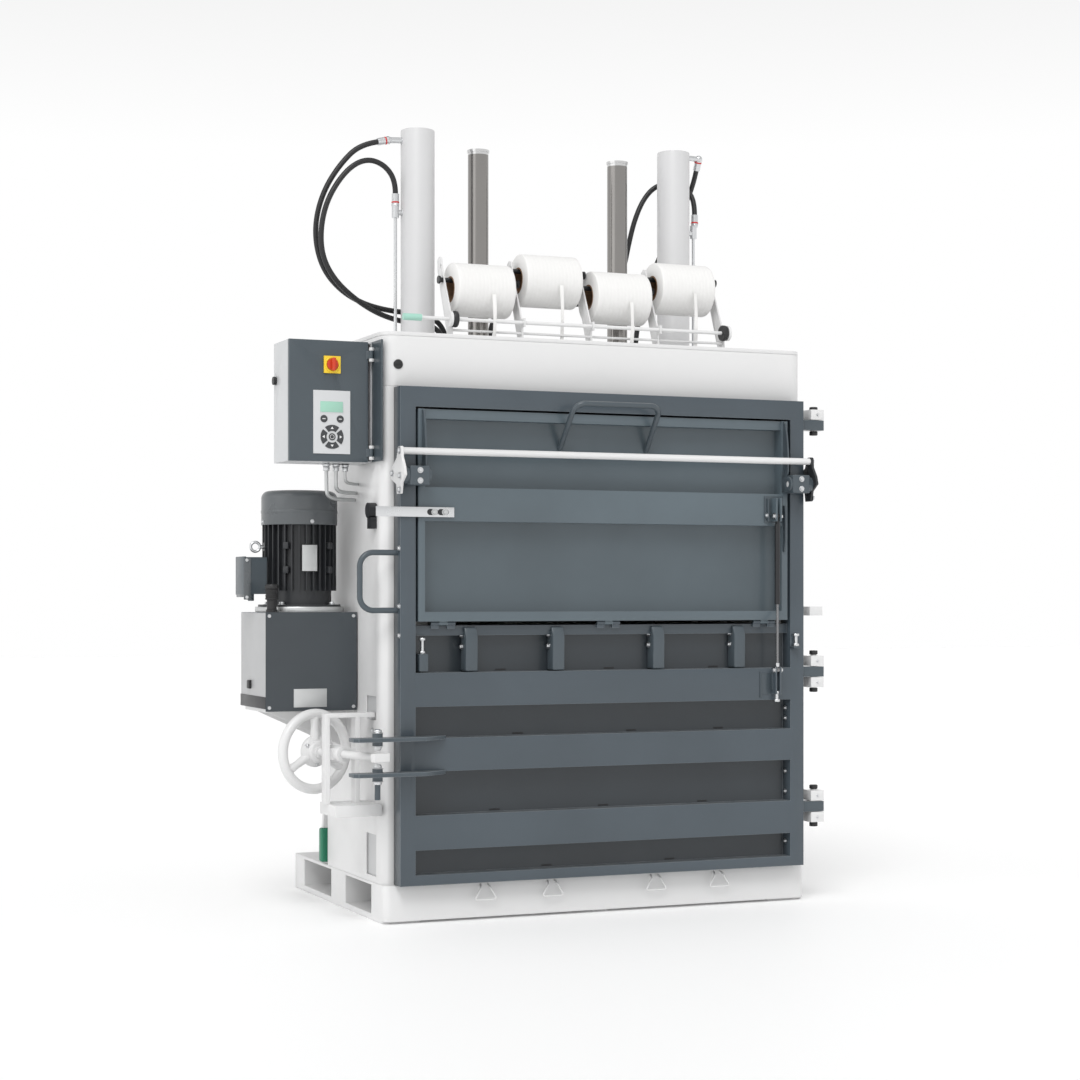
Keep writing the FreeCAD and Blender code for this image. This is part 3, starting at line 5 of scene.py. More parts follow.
import bpy
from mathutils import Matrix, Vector

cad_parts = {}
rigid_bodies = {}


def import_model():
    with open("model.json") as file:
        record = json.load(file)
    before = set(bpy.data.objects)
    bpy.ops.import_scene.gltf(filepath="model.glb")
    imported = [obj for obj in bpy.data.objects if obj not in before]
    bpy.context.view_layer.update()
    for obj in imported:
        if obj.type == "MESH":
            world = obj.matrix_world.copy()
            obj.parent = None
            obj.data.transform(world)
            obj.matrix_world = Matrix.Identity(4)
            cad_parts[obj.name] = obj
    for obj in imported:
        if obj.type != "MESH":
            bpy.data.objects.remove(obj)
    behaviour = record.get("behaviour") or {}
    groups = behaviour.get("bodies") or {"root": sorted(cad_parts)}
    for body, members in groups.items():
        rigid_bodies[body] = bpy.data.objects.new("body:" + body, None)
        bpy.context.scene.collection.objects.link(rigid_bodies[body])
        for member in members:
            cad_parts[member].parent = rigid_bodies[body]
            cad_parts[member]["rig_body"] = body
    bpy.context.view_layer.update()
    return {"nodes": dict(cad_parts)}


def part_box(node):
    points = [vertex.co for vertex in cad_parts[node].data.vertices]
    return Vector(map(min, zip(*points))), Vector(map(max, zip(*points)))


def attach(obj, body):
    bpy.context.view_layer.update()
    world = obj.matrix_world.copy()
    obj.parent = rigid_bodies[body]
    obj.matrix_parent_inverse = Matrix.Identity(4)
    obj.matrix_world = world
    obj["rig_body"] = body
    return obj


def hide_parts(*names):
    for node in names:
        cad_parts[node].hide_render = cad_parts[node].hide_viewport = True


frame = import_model()
bpy.ops.object.select_all(action="DESELECT")
print("frame loaded:", len(frame["nodes"]), "nodes")


# camera, held level and shifted up a little
view = {"spot": (-2.9481, -6.8731, 1.0276), "turn": -22.87, "lens": 72.77, "lift": 0.0519}
bpy.ops.object.camera_add(location=view["spot"], rotation=(math.radians(90), 0, math.radians(view["turn"])))
camera = bpy.context.object
camera.name = "camera"
camera.data.lens = view["lens"]
camera.data.shift_y = view["lift"]
camera.data.clip_end = 60
bpy.context.scene.camera = camera


# shader groups
def groupTree(name, inputs, outputs):
    tree = bpy.data.node_groups.new(name, "ShaderNodeTree")
    for label, start in inputs.items():
        kind = "NodeSocketColor" if isinstance(start, tuple) else "NodeSocketFloat"
        tree.interface.new_socket(label, in_out="INPUT", socket_type=kind).default_value = start
    for label in outputs:
        kind = "NodeSocketColor" if label == "Color" else "NodeSocketFloat"
        tree.interface.new_socket(label, in_out="OUTPUT", socket_type=kind)
    return tree, tree.nodes.new("NodeGroupInput"), tree.nodes.new("NodeGroupOutput")


def feed(tree, socket, item):
    if isinstance(item, (int, float, tuple)):
        socket.default_value = item
    else:
        tree.links.new(item, socket)


def objectCoords(tree):
    return tree.nodes.new("ShaderNodeTexCoord").outputs["Object"]


def noiseAt(tree, coords, scale, detail=3.0, rough=0.55):
    node = tree.nodes.new("ShaderNodeTexNoise")
    node.inputs["Scale"].default_value = scale
    node.inputs["Detail"].default_value = detail
    node.inputs["Roughness"].default_value = rough
    tree.links.new(coords, node.inputs["Vector"])
    return node.outputs["Fac"]


def waveAt(tree, coords, scale, distortion, **settings):
    node = tree.nodes.new("ShaderNodeTexWave")
    for key, setting in settings.items():
        setattr(node, key, setting)
    node.inputs["Scale"].default_value = scale
    node.inputs["Distortion"].default_value = distortion
    tree.links.new(coords, node.inputs["Vector"])
    return node


def mapTo(tree, coords, **settings):
    node = tree.nodes.new("ShaderNodeMapping")
    for label, setting in settings.items():
        node.inputs[label].default_value = setting
    tree.links.new(coords, node.inputs["Vector"])
    return node.outputs[0]


def mathNode(tree, operation, first, second, clamp=False):
    node = tree.nodes.new("ShaderNodeMath")
    node.operation = operation
    node.use_clamp = clamp
    for slot, item in enumerate((first, second)):
        feed(tree, node.inputs[slot], item)
    return node.outputs[0]


def mapRange(tree, value, low, high, newLow, newHigh):
    node = tree.nodes.new("ShaderNodeMapRange")
    ends = (("Value", value), ("From Min", low), ("From Max", high), ("To Min", newLow), ("To Max", newHigh))
    for label, item in ends:
        feed(tree, node.inputs[label], item)
    return node.outputs["Result"]


def mixColor(tree, factor, first, second, blend="MIX"):
    node = tree.nodes.new("ShaderNodeMix")
    node.data_type = "RGBA"
    node.blend_type = blend
    for socket, item in ((0, factor), (6, first), (7, second)):
        feed(tree, node.inputs[socket], (*item, 1) if isinstance(item, tuple) else item)
    return node.outputs[2]


def greyLevel(tree, level):
    grey = tree.nodes.new("ShaderNodeCombineColor")
    for slot in range(3):
        tree.links.new(level, grey.inputs[slot])
    return grey.outputs[0]


def makePaintFilm():
    inputs = {"Tint": (0.8, 0.8, 0.8, 1), "Cloud": 0.05, "Gloss": 0.35, "Peel": 1.0}
    tree, start, end = groupTree("paintFilm", inputs, ("Color", "Roughness", "Height"))
    coords = objectCoords(tree)
    cloud = noiseAt(tree, coords, 2.4, 4)
    low = mathNode(tree, "SUBTRACT", 1.0, start.outputs["Cloud"])
    high = mathNode(tree, "ADD", 1.0, start.outputs["Cloud"])
    shade = mapRange(tree, cloud, 0.3, 0.7, low, high)
    color = mixColor(tree, 1.0, start.outputs["Tint"], greyLevel(tree, shade), "MULTIPLY")
    tree.links.new(color, end.inputs["Color"])
    smudge = noiseAt(tree, coords, 9, 5)
    rough = mathNode(tree, "ADD", start.outputs["Gloss"], mapRange(tree, smudge, 0.3, 0.7, -0.04, 0.06))
    tree.links.new(rough, end.inputs["Roughness"])
    peel = mathNode(tree, "MULTIPLY", noiseAt(tree, coords, 420, 2), start.outputs["Peel"])
    wave = mathNode(tree, "MULTIPLY", noiseAt(tree, coords, 26, 2), 0.35)
    tree.links.new(mathNode(tree, "ADD", peel, wave), end.inputs["Height"])
    return tree


def makeDustFall():
    inputs = {"Color": (0.5, 0.5, 0.5, 1), "Roughness": 0.4, "Dust": (0.55, 0.53, 0.5, 1), "Amount": 0.25}
    tree, start, end = groupTree("dustFall", inputs, ("Color", "Roughness"))
    geometry = tree.nodes.new("ShaderNodeNewGeometry")
    split = tree.nodes.new("ShaderNodeSeparateXYZ")
    tree.links.new(geometry.outputs["Normal"], split.inputs[0])
    coords = objectCoords(tree)
    up = mapRange(tree, split.outputs["Z"], 0.6, 1.0, 0.0, 1.0)
    patch = mapRange(tree, noiseAt(tree, coords, 14, 6, 0.65), 0.35, 0.65, 0.35, 1.0)
    mask = mathNode(tree, "MULTIPLY", mathNode(tree, "MULTIPLY", up, patch), start.outputs["Amount"], clamp=True)
    tree.links.new(mixColor(tree, mask, start.outputs["Color"], start.outputs["Dust"]), end.inputs["Color"])
    tree.links.new(mathNode(tree, "ADD", start.outputs["Roughness"], mathNode(tree, "MULTIPLY", mask, 0.6)),
        end.inputs["Roughness"])
    return tree


def makeRubMarks():
    inputs = {"Color": (0.5, 0.5, 0.5, 1), "Roughness": 0.4, "Bare": (0.6, 0.6, 0.6, 1), "Amount": 0.15}
    tree, start, end = groupTree("rubMarks", inputs, ("Color", "Roughness"))
    coords = objectCoords(tree)
    stretched = mapTo(tree, coords, Scale=(60, 60, 4), Rotation=(0.2, 0.5, 0.1))
    streak = mapRange(tree, noiseAt(tree, stretched, 3.0, 8, 0.7), 0.64, 0.72, 0.0, 1.0)
    region = mapRange(tree, noiseAt(tree, coords, 5, 2), 0.5, 0.66, 0.0, 1.0)
    mask = mathNode(tree, "MULTIPLY", mathNode(tree, "MULTIPLY", streak, region), start.outputs["Amount"], clamp=True)
    tree.links.new(mixColor(tree, mask, start.outputs["Color"], start.outputs["Bare"]), end.inputs["Color"])
    tree.links.new(mathNode(tree, "ADD", start.outputs["Roughness"], mathNode(tree, "MULTIPLY", mask, 0.3)),
        end.inputs["Roughness"])
    return tree


# Painted shade: darkens the colour from Front to Back in object Y, down to Depth, in place of the shade in recesses and
# beside the door post
def makePaintedRecessShade():
    inputs = {"Front": -0.45, "Back": -0.41, "Depth": 0.6}
    tree, start, end = groupTree("paintedRecessShade", inputs, ("Color",))
    coords = objectCoords(tree)
    split = tree.nodes.new("ShaderNodeSeparateXYZ")
    tree.links.new(coords, split.inputs[0])
    shade = mapRange(tree, split.outputs["Y"], start.outputs["Front"], start.outputs["Back"], 1.0, start.outputs["Depth"])
    cloud = mapRange(tree, noiseAt(tree, coords, 3.5, 3), 0.3, 0.7, 0.94, 1.06)
    level = mathNode(tree, "MULTIPLY", shade, cloud)
    tree.links.new(greyLevel(tree, level), end.inputs["Color"])
    return tree


paintedRecessShade = makePaintedRecessShade()
paintFilm = makePaintFilm()
dustFall = makeDustFall()
rubMarks = makeRubMarks()


def startMaterial(name, metallic=0.0):
    material = bpy.data.materials.new(name)
    material.use_nodes = True
    tree = material.node_tree
    shader = next(n for n in tree.nodes if n.type == "BSDF_PRINCIPLED")
    shader.inputs["Metallic"].default_value = metallic
    return material, tree, shader


def useGroup(tree, group, **inputs):
    node = tree.nodes.new("ShaderNodeGroup")
    node.node_tree = group
    for label, item in inputs.items():
        feed(tree, node.inputs[label], item)
    return node


def coatWith(tree, shader, layer):
    tree.links.new(layer.outputs["Color"], shader.inputs["Base Color"])
    tree.links.new(layer.outputs["Roughness"], shader.inputs["Roughness"])


def bumpOn(tree, shader, height, strength, distance):
    bump = tree.nodes.new("ShaderNodeBump")
    bump.inputs["Strength"].default_value = strength
    bump.inputs["Distance"].default_value = distance
    tree.links.new(height, bump.inputs["Height"])
    tree.links.new(bump.outputs["Normal"], shader.inputs["Normal"])


def paintMaterial(name, tint, gloss, cloud=0.04, peel=1.0, dust=0.2, rub=0.1, bare=(0.55, 0.55, 0.55), coat=0.0,
    paintedShade=None):
    material, tree, shader = startMaterial(name)
    film = useGroup(tree, paintFilm, Tint=(*tint, 1), Cloud=cloud, Gloss=gloss, Peel=peel)
    # painted shade multiplied into the tint
    if paintedShade:
        shadeNode = useGroup(tree, paintedRecessShade, Front=paintedShade[0], Back=paintedShade[1], Depth=paintedShade[2])
        tree.links.new(mixColor(tree, 1.0, (*tint,), shadeNode.outputs["Color"], "MULTIPLY"), film.inputs["Tint"])
    worn = useGroup(tree, rubMarks, Color=film.outputs["Color"], Roughness=film.outputs["Roughness"], Bare=(*bare, 1),
        Amount=rub)
    dusty = useGroup(tree, dustFall, Color=worn.outputs["Color"], Roughness=worn.outputs["Roughness"], Amount=dust)
    coatWith(tree, shader, dusty)
    shader.inputs["Coat Weight"].default_value = coat
    shader.inputs["Coat Roughness"].default_value = 0.12
    bumpOn(tree, shader, film.outputs["Height"], 0.12, 0.0006)
    return material


def metalMaterial(name, tint, gloss, brushed=0.0, cloud=0.06):
    material, tree, shader = startMaterial(name, 1.0)
    film = useGroup(tree, paintFilm, Tint=(*tint, 1), Cloud=cloud, Gloss=gloss, Peel=0.6)
    coatWith(tree, shader, film)
    if brushed:
        stretched = mapTo(tree, objectCoords(tree), Scale=(420, 420, 5))
        bumpOn(tree, shader, noiseAt(tree, stretched, 1.0, 4), brushed, 0.0003)
    else:
        bumpOn(tree, shader, film.outputs["Height"], 0.08, 0.0004)
    return material


def plasticMaterial(name, tint, gloss, grain=300.0, strength=0.15):
    material, tree, shader = startMaterial(name)
    film = useGroup(tree, paintFilm, Tint=(*tint, 1), Cloud=0.03, Gloss=gloss, Peel=0.4)
    coatWith(tree, shader, film)
    bumpOn(tree, shader, noiseAt(tree, objectCoords(tree), grain * 4, 2), strength, 0.0003)
    return material


whitePaint = paintMaterial("whitePaint", (0.7, 0.7, 0.7), 0.34, 0.012, dust=0.06, rub=0.04, bare=(0.5, 0.5, 0.5))
greyPaint = paintMaterial("anthracitePaint", (0.058, 0.075, 0.088), 0.36, 0.06, dust=0.14, rub=0.1, bare=(0.2, 0.21, 0.22),
    coat=0.15)
# the white paint darkened as painted shade for the cylinders
paintMaterial("cylinderPaint", (0.6, 0.6, 0.605), 0.36, 0.015, dust=0.06, rub=0.05, bare=(0.45, 0.45, 0.45))
# wall paint with painted shade on the front strip beside the door post
paintMaterial("wallPaint", (0.7, 0.7, 0.7), 0.34, 0.012, dust=0.06, rub=0.05, bare=(0.5, 0.5, 0.5),
    paintedShade=(-0.388, -0.4, 0.62))
# door paint with painted shade in the recessed panels behind the ribs
paintMaterial("doorPaint", (0.055, 0.072, 0.087), 0.34, 0.05, dust=0.16, rub=0.12, bare=(0.2, 0.21, 0.22),
    coat=0.2, paintedShade=(-0.452, -0.414, 0.41))
# flap paint: the anthracite made lighter and bluer as painted light, with a little painted shade in its recess
paintMaterial("flapPaint", (0.088, 0.116, 0.134), 0.32, 0.07, dust=0.16, rub=0.12, bare=(0.24, 0.25, 0.26),
    coat=0.2, paintedShade=(-0.45, -0.414, 0.8))
blackPaint = paintMaterial("blackPaint", (0.012, 0.013, 0.015), 0.38, 0.08, dust=0.12, rub=0.12, bare=(0.2, 0.2, 0.2))
finPaint = paintMaterial("motorFinPaint", (0.022, 0.024, 0.027), 0.4, 0.08, dust=0.15, rub=0.05, bare=(0.2, 0.2, 0.2))
cowlPaint = paintMaterial("fanCowlPaint", (0.095, 0.105, 0.112), 0.3, 0.04, dust=0.15, rub=0.08, bare=(0.3, 0.3, 0.3),
    coat=0.2)
metalMaterial("groundRodSteel", (0.24, 0.24, 0.245), 0.26, 0.05)
zincPlate = metalMaterial("zincPlate", (0.66, 0.67, 0.68), 0.28)
castAlloy = metalMaterial("castAlloy", (0.6, 0.61, 0.61), 0.42)
blackPlastic = plasticMaterial("blackPlastic", (0.015, 0.015, 0.016), 0.45)
greenPlastic = plasticMaterial("greenGrip", (0.018, 0.19, 0.105), 0.42)
redPlastic = plasticMaterial("switchRed", (0.6, 0.045, 0.012), 0.3)
yellowPlastic = plasticMaterial("switchYellow", (0.86, 0.6, 0.03), 0.32)
plasticMaterial("keypadFoil", (0.62, 0.63, 0.64), 0.42, 500, 0.05)
keyInk = plasticMaterial("keyInk", (0.045, 0.048, 0.052), 0.45, 500, 0.05)
keyLight = plasticMaterial("keyMark", (0.78, 0.78, 0.78), 0.45, 500, 0.05)
displayMint = plasticMaterial("displayMint", (0.34, 0.6, 0.48), 0.2, 500, 0.02)
cardboard = plasticMaterial("rollCardboard", (0.2, 0.115, 0.065), 0.75, 120, 0.3)
ringRed = plasticMaterial("ringRed", (0.55, 0.03, 0.03), 0.4)


def makeHoseRubber():
    material, tree, shader = startMaterial("hoseRubber")
    film = useGroup(tree, paintFilm, Tint=(0.014, 0.014, 0.015, 1), Cloud=0.15, Gloss=0.42, Peel=1.0)
    coatWith(tree, shader, film)
    wrap = waveAt(tree, objectCoords(tree), 160, 2, bands_direction="DIAGONAL")
    bumpOn(tree, shader, wrap.outputs["Fac"], 0.25, 0.0005)
    return material


hoseRubber = makeHoseRubber()
print("materials ready:", len(bpy.data.materials))


# modelling helpers
def selectOnly(piece):
    bpy.ops.object.select_all(action="DESELECT")
    piece.select_set(True)
    bpy.context.view_layer.objects.active = piece


def newPiece(name, verts, edges, faces):
    mesh = bpy.data.meshes.new(name)
    mesh.from_pydata(verts, edges, faces)
    piece = bpy.data.objects.new(name, mesh)
    bpy.context.collection.objects.link(piece)
    selectOnly(piece)
    return piece


def routeCurve(name, spots, radius, rounds):
    line = bpy.data.curves.new(name, "CURVE")
    line.dimensions = "3D"
    line.bevel_depth = radius
    line.bevel_resolution = rounds
    line.resolution_u = 10
    line.use_fill_caps = True
    spline = line.splines.new("NURBS")
    spline.points.add(len(spots) - 1)
    for point, spot in zip(spline.points, spots):
        point.co = (*spot, 1)
    spline.order_u = 3
    spline.use_endpoint_u = True
    piece = bpy.data.objects.new(name, line)
    bpy.context.collection.objects.link(piece)
    return piece


# hoses, each along its own route
hoseSize = {"radius": 0.009, "rounds": 6}
hoseRoutes = {
    "leftHoseUpper": ("left_hose_upper", 1.086, [
        (-0.620, 0.040, 2.541), (-0.680, 0.042, 2.528), (-0.745, 0.046, 2.462), (-0.800, 0.050, 2.375), (-0.829, 0.054,
            2.280),
        (-0.829, 0.058, 2.190), (-0.800, 0.062, 2.105), (-0.738, 0.070, 2.042), (-0.655, 0.090, 2.006), (-0.560, 0.120,
            1.992),
        (-0.465, 0.140, 1.990), (-0.390, 0.148, 1.982), (-0.345, 0.150, 1.948), (-0.332, 0.150, 1.902)]),
    "leftHoseLower": ("left_hose_lower", 1.121, [
        (-0.557, 0.040, 2.372), (-0.557, 0.040, 2.414), (-0.591, 0.036, 2.461), (-0.647, 0.030, 2.480), (-0.703, 0.024,
            2.461),
        (-0.756, 0.022, 2.408), (-0.803, 0.022, 2.326), (-0.823, 0.024, 2.233), (-0.815, 0.028, 2.143), (-0.770, 0.035,
            2.071),
        (-0.697, 0.052, 2.016), (-0.608, 0.084, 1.976), (-0.512, 0.116, 1.956), (-0.430, 0.118, 1.954), (-0.376, 0.112,
            1.936),
        (-0.362, 0.108, 1.902)]),
    "rightHoseLong": ("right_hose", 1.220, [
        (0.562, 0.040, 2.376), (0.564, 0.044, 2.426), (0.548, 0.072, 2.474), (0.505, 0.106, 2.500), (0.448, 0.124, 2.486),
        (0.402, 0.126, 2.436), (0.366, 0.122, 2.360), (0.342, 0.118, 2.276), (0.322, 0.114, 2.190), (0.290, 0.112, 2.112),
        (0.228, 0.110, 2.066), (0.140, 0.110, 2.046), (0.044, 0.112, 2.042), (-0.044, 0.114, 2.052), (-0.112, 0.118, 2.046),
        (-0.160, 0.120, 2.006), (-0.184, 0.120, 1.950), (-0.190, 0.120, 1.902)]),
    "rightHoseShort": ("cross_hose", 0.690, [
        (0.580, 0.062, 2.540), (0.578, 0.084, 2.488), (0.556, 0.116, 2.412), (0.516, 0.134, 2.328), (0.474, 0.140, 2.240),
        (0.434, 0.138, 2.150), (0.400, 0.132, 2.060), (0.378, 0.128, 1.980), (0.370, 0.126, 1.902)]),
}


def layHose(name, node, spots):
    hose = routeCurve(name, spots, hoseSize["radius"], hoseSize["rounds"])
    hose.data.materials.append(hoseRubber)
    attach(hose, "frame")
    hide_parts(node)


for hoseName, (hoseNode, hoseLength, hoseSpots) in hoseRoutes.items():
    layHose(hoseName, hoseNode, hoseSpots)
hoseEnds = [(Vector(spots[0]), (Vector(spots[0]) - Vector(spots[1])).normalized()) for _, _, spots in hoseRoutes.values()]
print("hoses laid:", len(hoseRoutes))


def applyPlace(piece):
    selectOnly(piece)
    bpy.ops.object.transform_apply(location=True, rotation=True, scale=True)


def aimPiece(piece, spot, heading):
    piece.rotation_mode = "QUATERNION"
    piece.rotation_quaternion = Vector(heading).to_track_quat("Z", "Y")
    piece.location = spot
    applyPlace(piece)


def bevelSharp(piece, offset, segments=2, sharpness=40):
    selectOnly(piece)
    bpy.ops.object.mode_set(mode="EDIT")
    bpy.ops.mesh.select_mode(type="EDGE")
    bpy.ops.mesh.select_all(action="DESELECT")
    bpy.ops.mesh.edges_select_sharp(sharpness=math.radians(sharpness))
    bpy.ops.mesh.bevel(offset=offset, segments=segments, affect="EDGES")
    bpy.ops.object.mode_set(mode="OBJECT")


def makeBlock(name, low, high, edge=0.0012, segments=2):
    middle = [(a + b) / 2 for a, b in zip(low, high)]
    bpy.ops.object.select_all(action="DESELECT")
    bpy.ops.mesh.primitive_cube_add(size=1, location=middle)
    piece = bpy.context.object
    piece.name = name
    piece.scale = [b - a for a, b in zip(low, high)]
    applyPlace(piece)
    bevelSharp(piece, edge, segments)
    return piece


def makeRound(name, start, end, radius, sides=40, edge=0.0008, segments=2):
    start, end = Vector(start), Vector(end)
    bpy.ops.object.select_all(action="DESELECT")
    bpy.ops.mesh.primitive_cylinder_add(vertices=sides, radius=radius, depth=(end - start).length)
    piece = bpy.context.object
    piece.name = name
    aimPiece(piece, (start + end) / 2, end - start)
    if edge:
        bevelSharp(piece, edge, segments, 50)
    return piece


def makeTurned(name, outline, spot, heading, steps=64):
    verts = [(radius, 0, along) for along, radius in outline]
    piece = newPiece(name, verts, [(i, i + 1) for i in range(len(verts) - 1)], [])
    bpy.ops.object.mode_set(mode="EDIT")
    bpy.ops.mesh.select_all(action="SELECT")
    bpy.ops.mesh.spin(steps=steps, angle=2 * math.pi, center=(0, 0, 0), axis=(0, 0, 1))
    bpy.ops.mesh.select_all(action="SELECT")
    bpy.ops.mesh.remove_doubles(threshold=0.00002)
    bpy.ops.mesh.normals_make_consistent(inside=False)
    bpy.ops.object.mode_set(mode="OBJECT")
    aimPiece(piece, spot, heading)
    return piece


def makePlate(name, outline, plane, low, high, edge=0.0008):
    axes = {"XY": (0, 1, 2), "XZ": (0, 2, 1), "YZ": (1, 2, 0)}[plane]
    verts = []
    for across, up in outline:
        spot = [0, 0, 0]
        spot[axes[0]], spot[axes[1]], spot[axes[2]] = across, up, low
        verts.append(spot)
    piece = newPiece(name, verts, [], [list(range(len(verts)))])
    shift = [0, 0, 0]
    shift[axes[2]] = high - low
    bpy.ops.object.mode_set(mode="EDIT")
    bpy.ops.mesh.select_all(action="SELECT")
    bpy.ops.mesh.extrude_region_move(TRANSFORM_OT_translate={"value": shift})
    bpy.ops.mesh.select_all(action="SELECT")
    bpy.ops.mesh.normals_make_consistent(inside=False)
    bpy.ops.object.mode_set(mode="OBJECT")
    if edge:
        bevelSharp(piece, edge, 1, 50)
    return piece


def joinAll(name, pieces):
    bpy.ops.object.select_all(action="DESELECT")
    for piece in pieces:
        piece.select_set(True)
    bpy.context.view_layer.objects.active = pieces[0]
    if len(pieces) > 1:
        bpy.ops.object.join()
    pieces[0].name = name
    return pieces[0]


def copyOnto(name, pattern, spots):
    made = []
    for spot, heading in spots:
        twin = pattern.copy()
        twin.data = pattern.data.copy()
        bpy.context.collection.objects.link(twin)
        aimPiece(twin, spot, heading)
        made.append(twin)
    bpy.data.objects.remove(pattern)
    return joinAll(name, made)


def finishPiece(piece, material, body, slot=None, angle=35):
    selectOnly(piece)
    bpy.ops.object.shade_smooth_by_angle(angle=math.radians(angle))
    piece.data.materials.clear()
    piece.data.materials.append(material)
    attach(piece, body)


def finishSet(name, pieces, *finish):
    finishPiece(joinAll(name, pieces), *finish)


def hexHead(name, radius, height, washer=1.35):
    head = makeRound(name, (0, 0, 0.0012), (0, 0, 0.0012 + height), radius, 6, radius * 0.1, 1)
    ring = makeRound(name + "Washer", (0, 0, 0), (0, 0, 0.0014), radius * washer, 28, 0.0003, 1)
    socket = makeRound(name + "Dish", (0, 0, height * 0.9), (0, 0, height + 0.0018), radius * 0.62, 20, radius * 0.08, 1)
    return joinAll(name, [head, ring, socket])


def setBolts(name, radius, height, spots, body, material=zincPlate):
    finishPiece(copyOnto(name, hexHead(name + "Pattern", radius, height), spots), material, body)


# finishes on the frame's own parts
nodeFinish = {
    "whitePaint": "base_frame chamber_liner chamber_floor header_beam top_plate "
                  "press_plate tank_bracket lock_yoke rack_plates handwheel lock_spindle body_hinges "
                  "locking_bar strap_guides liner_ribs",
    "doorPaint": "door_frame",
    "cylinderPaint": "left_cylinder right_cylinder",
    "wallPaint": "left_side_wall right_side_wall",
    "flapPaint": "flap_panel",
    "anthracitePaint": "cabinet_door cabinet_mount lock_plates bar_bearings strap_claws door_handle flap_handle "
                       "door_hinges terminal_box",
    "blackPaint": "roll_axles oil_pump strut_tube door_sensor breather",
    "motorFinPaint": "motor_body motor_rotor",
    "fanCowlPaint": "fan_cover",
    "groundRodSteel": "piston_rods strut_rod",
    "zincPlate": "oil_fittings guide_bushes eye_bolt sensor_bar",
    "blackPlastic": "side_lock",
    "keypadFoil": "keypad_panel",
    "switchYellow": "switch_plate",
    "switchRed": "switch_knob",
}


def dress(node, material):
    part = frame["nodes"][node]
    for slot in part.material_slots:
        slot.material = material


for materialName, nodeNames in nodeFinish.items():
    for nodeName in nodeNames.split():
        if nodeName in frame["nodes"]:
            dress(nodeName, bpy.data.materials[materialName])


softening = {"merge": 0.00001, "flatAngle": 0.6, "sharpAngle": 42, "smoothAngle": 30, "steps": 2}


def softenPart(node, width, highlightPaint=None):
    part = frame["nodes"][node]
    words = node.split("_")
    piece = bpy.data.objects.new(words[0] + "".join(word.title() for word in words[1:]), part.data.copy())
    bpy.context.collection.objects.link(piece)
    applyPlace(piece)
    bpy.ops.object.mode_set(mode="EDIT")
    bpy.ops.mesh.select_mode(type="VERT")
    bpy.ops.mesh.select_all(action="SELECT")
    bpy.ops.mesh.remove_doubles(threshold=softening["merge"])
    bpy.ops.mesh.dissolve_limited(angle_limit=math.radians(softening["flatAngle"]))
    bpy.ops.mesh.normals_make_consistent(inside=False)
    bpy.ops.object.mode_set(mode="OBJECT")
    rounding = piece.modifiers.new("rounding", "BEVEL")
    rounding.width = width
    rounding.segments = softening["steps"]
    rounding.limit_method = "ANGLE"
    rounding.angle_limit = math.radians(softening["sharpAngle"])
    rounding.use_clamp_overlap = True
    mainPaint = part.material_slots[0].material
    piece.data.materials.clear()
    piece.data.materials.append(mainPaint)
    # the bevel faces take a second, lighter paint: a painted edge highlight
    if highlightPaint:
        piece.data.materials.append(highlightPaint)
        rounding.material = 1
    bpy.ops.object.modifier_apply(modifier="rounding")
    low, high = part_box(node)
    for vertex in piece.data.vertices:
        vertex.co = [min(max(value, a), b) for value, a, b in zip(vertex.co, low, high)]
    bpy.ops.object.shade_smooth_by_angle(angle=math.radians(softening["smoothAngle"]))
    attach(piece, part["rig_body"])
    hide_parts(node)


def splitPaint(name, axis, limit, lowTint, highTint, gloss=0.34, metallic=0.0):
    material, tree, shader = startMaterial(name, metallic)
    coords = objectCoords(tree)
    split = tree.nodes.new("ShaderNodeSeparateXYZ")
    tree.links.new(coords, split.inputs[0])
    side = mapRange(tree, split.outputs[axis], limit - 0.0002, limit + 0.0002, 0.0, 1.0)
    tint = mixColor(tree, side, lowTint, highTint)
    film = useGroup(tree, paintFilm, Tint=tint, Cloud=0.03, Gloss=gloss, Peel=1.0)
    coatWith(tree, shader, film)
    bumpOn(tree, shader, film.outputs["Height"], 0.12, 0.0006)
    return material


dress("tank", splitPaint("tankPaint", "Y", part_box("tank")[0][1] + 0.003, (0.06, 0.074, 0.086), (0.4, 0.405, 0.41)))
dress("guide_rods", splitPaint("rodAndCap", "Z", 2.5235, (0.27, 0.26, 0.25), (0.62, 0.62, 0.62), 0.17, 1.0))
dress("locking_bar", splitPaint("barFinish", "X", 0.7195, (0.7, 0.7, 0.7), (0.022, 0.024, 0.027)))
dress("cabinet_box", paintMaterial("cabinetPaint", (0.56, 0.57, 0.58), 0.34, 0.02))
dress("brake_shaft", splitPaint("shaftFinish", "X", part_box("brake_shaft")[0][0] + 0.0605, (0.35, 0.62, 0.52),
    (0.72, 0.72, 0.72)))
dress("ejector_lever", splitPaint("leverFinish", "Z", 0.2405, (0.018, 0.19, 0.105), (0.78, 0.78, 0.78)))
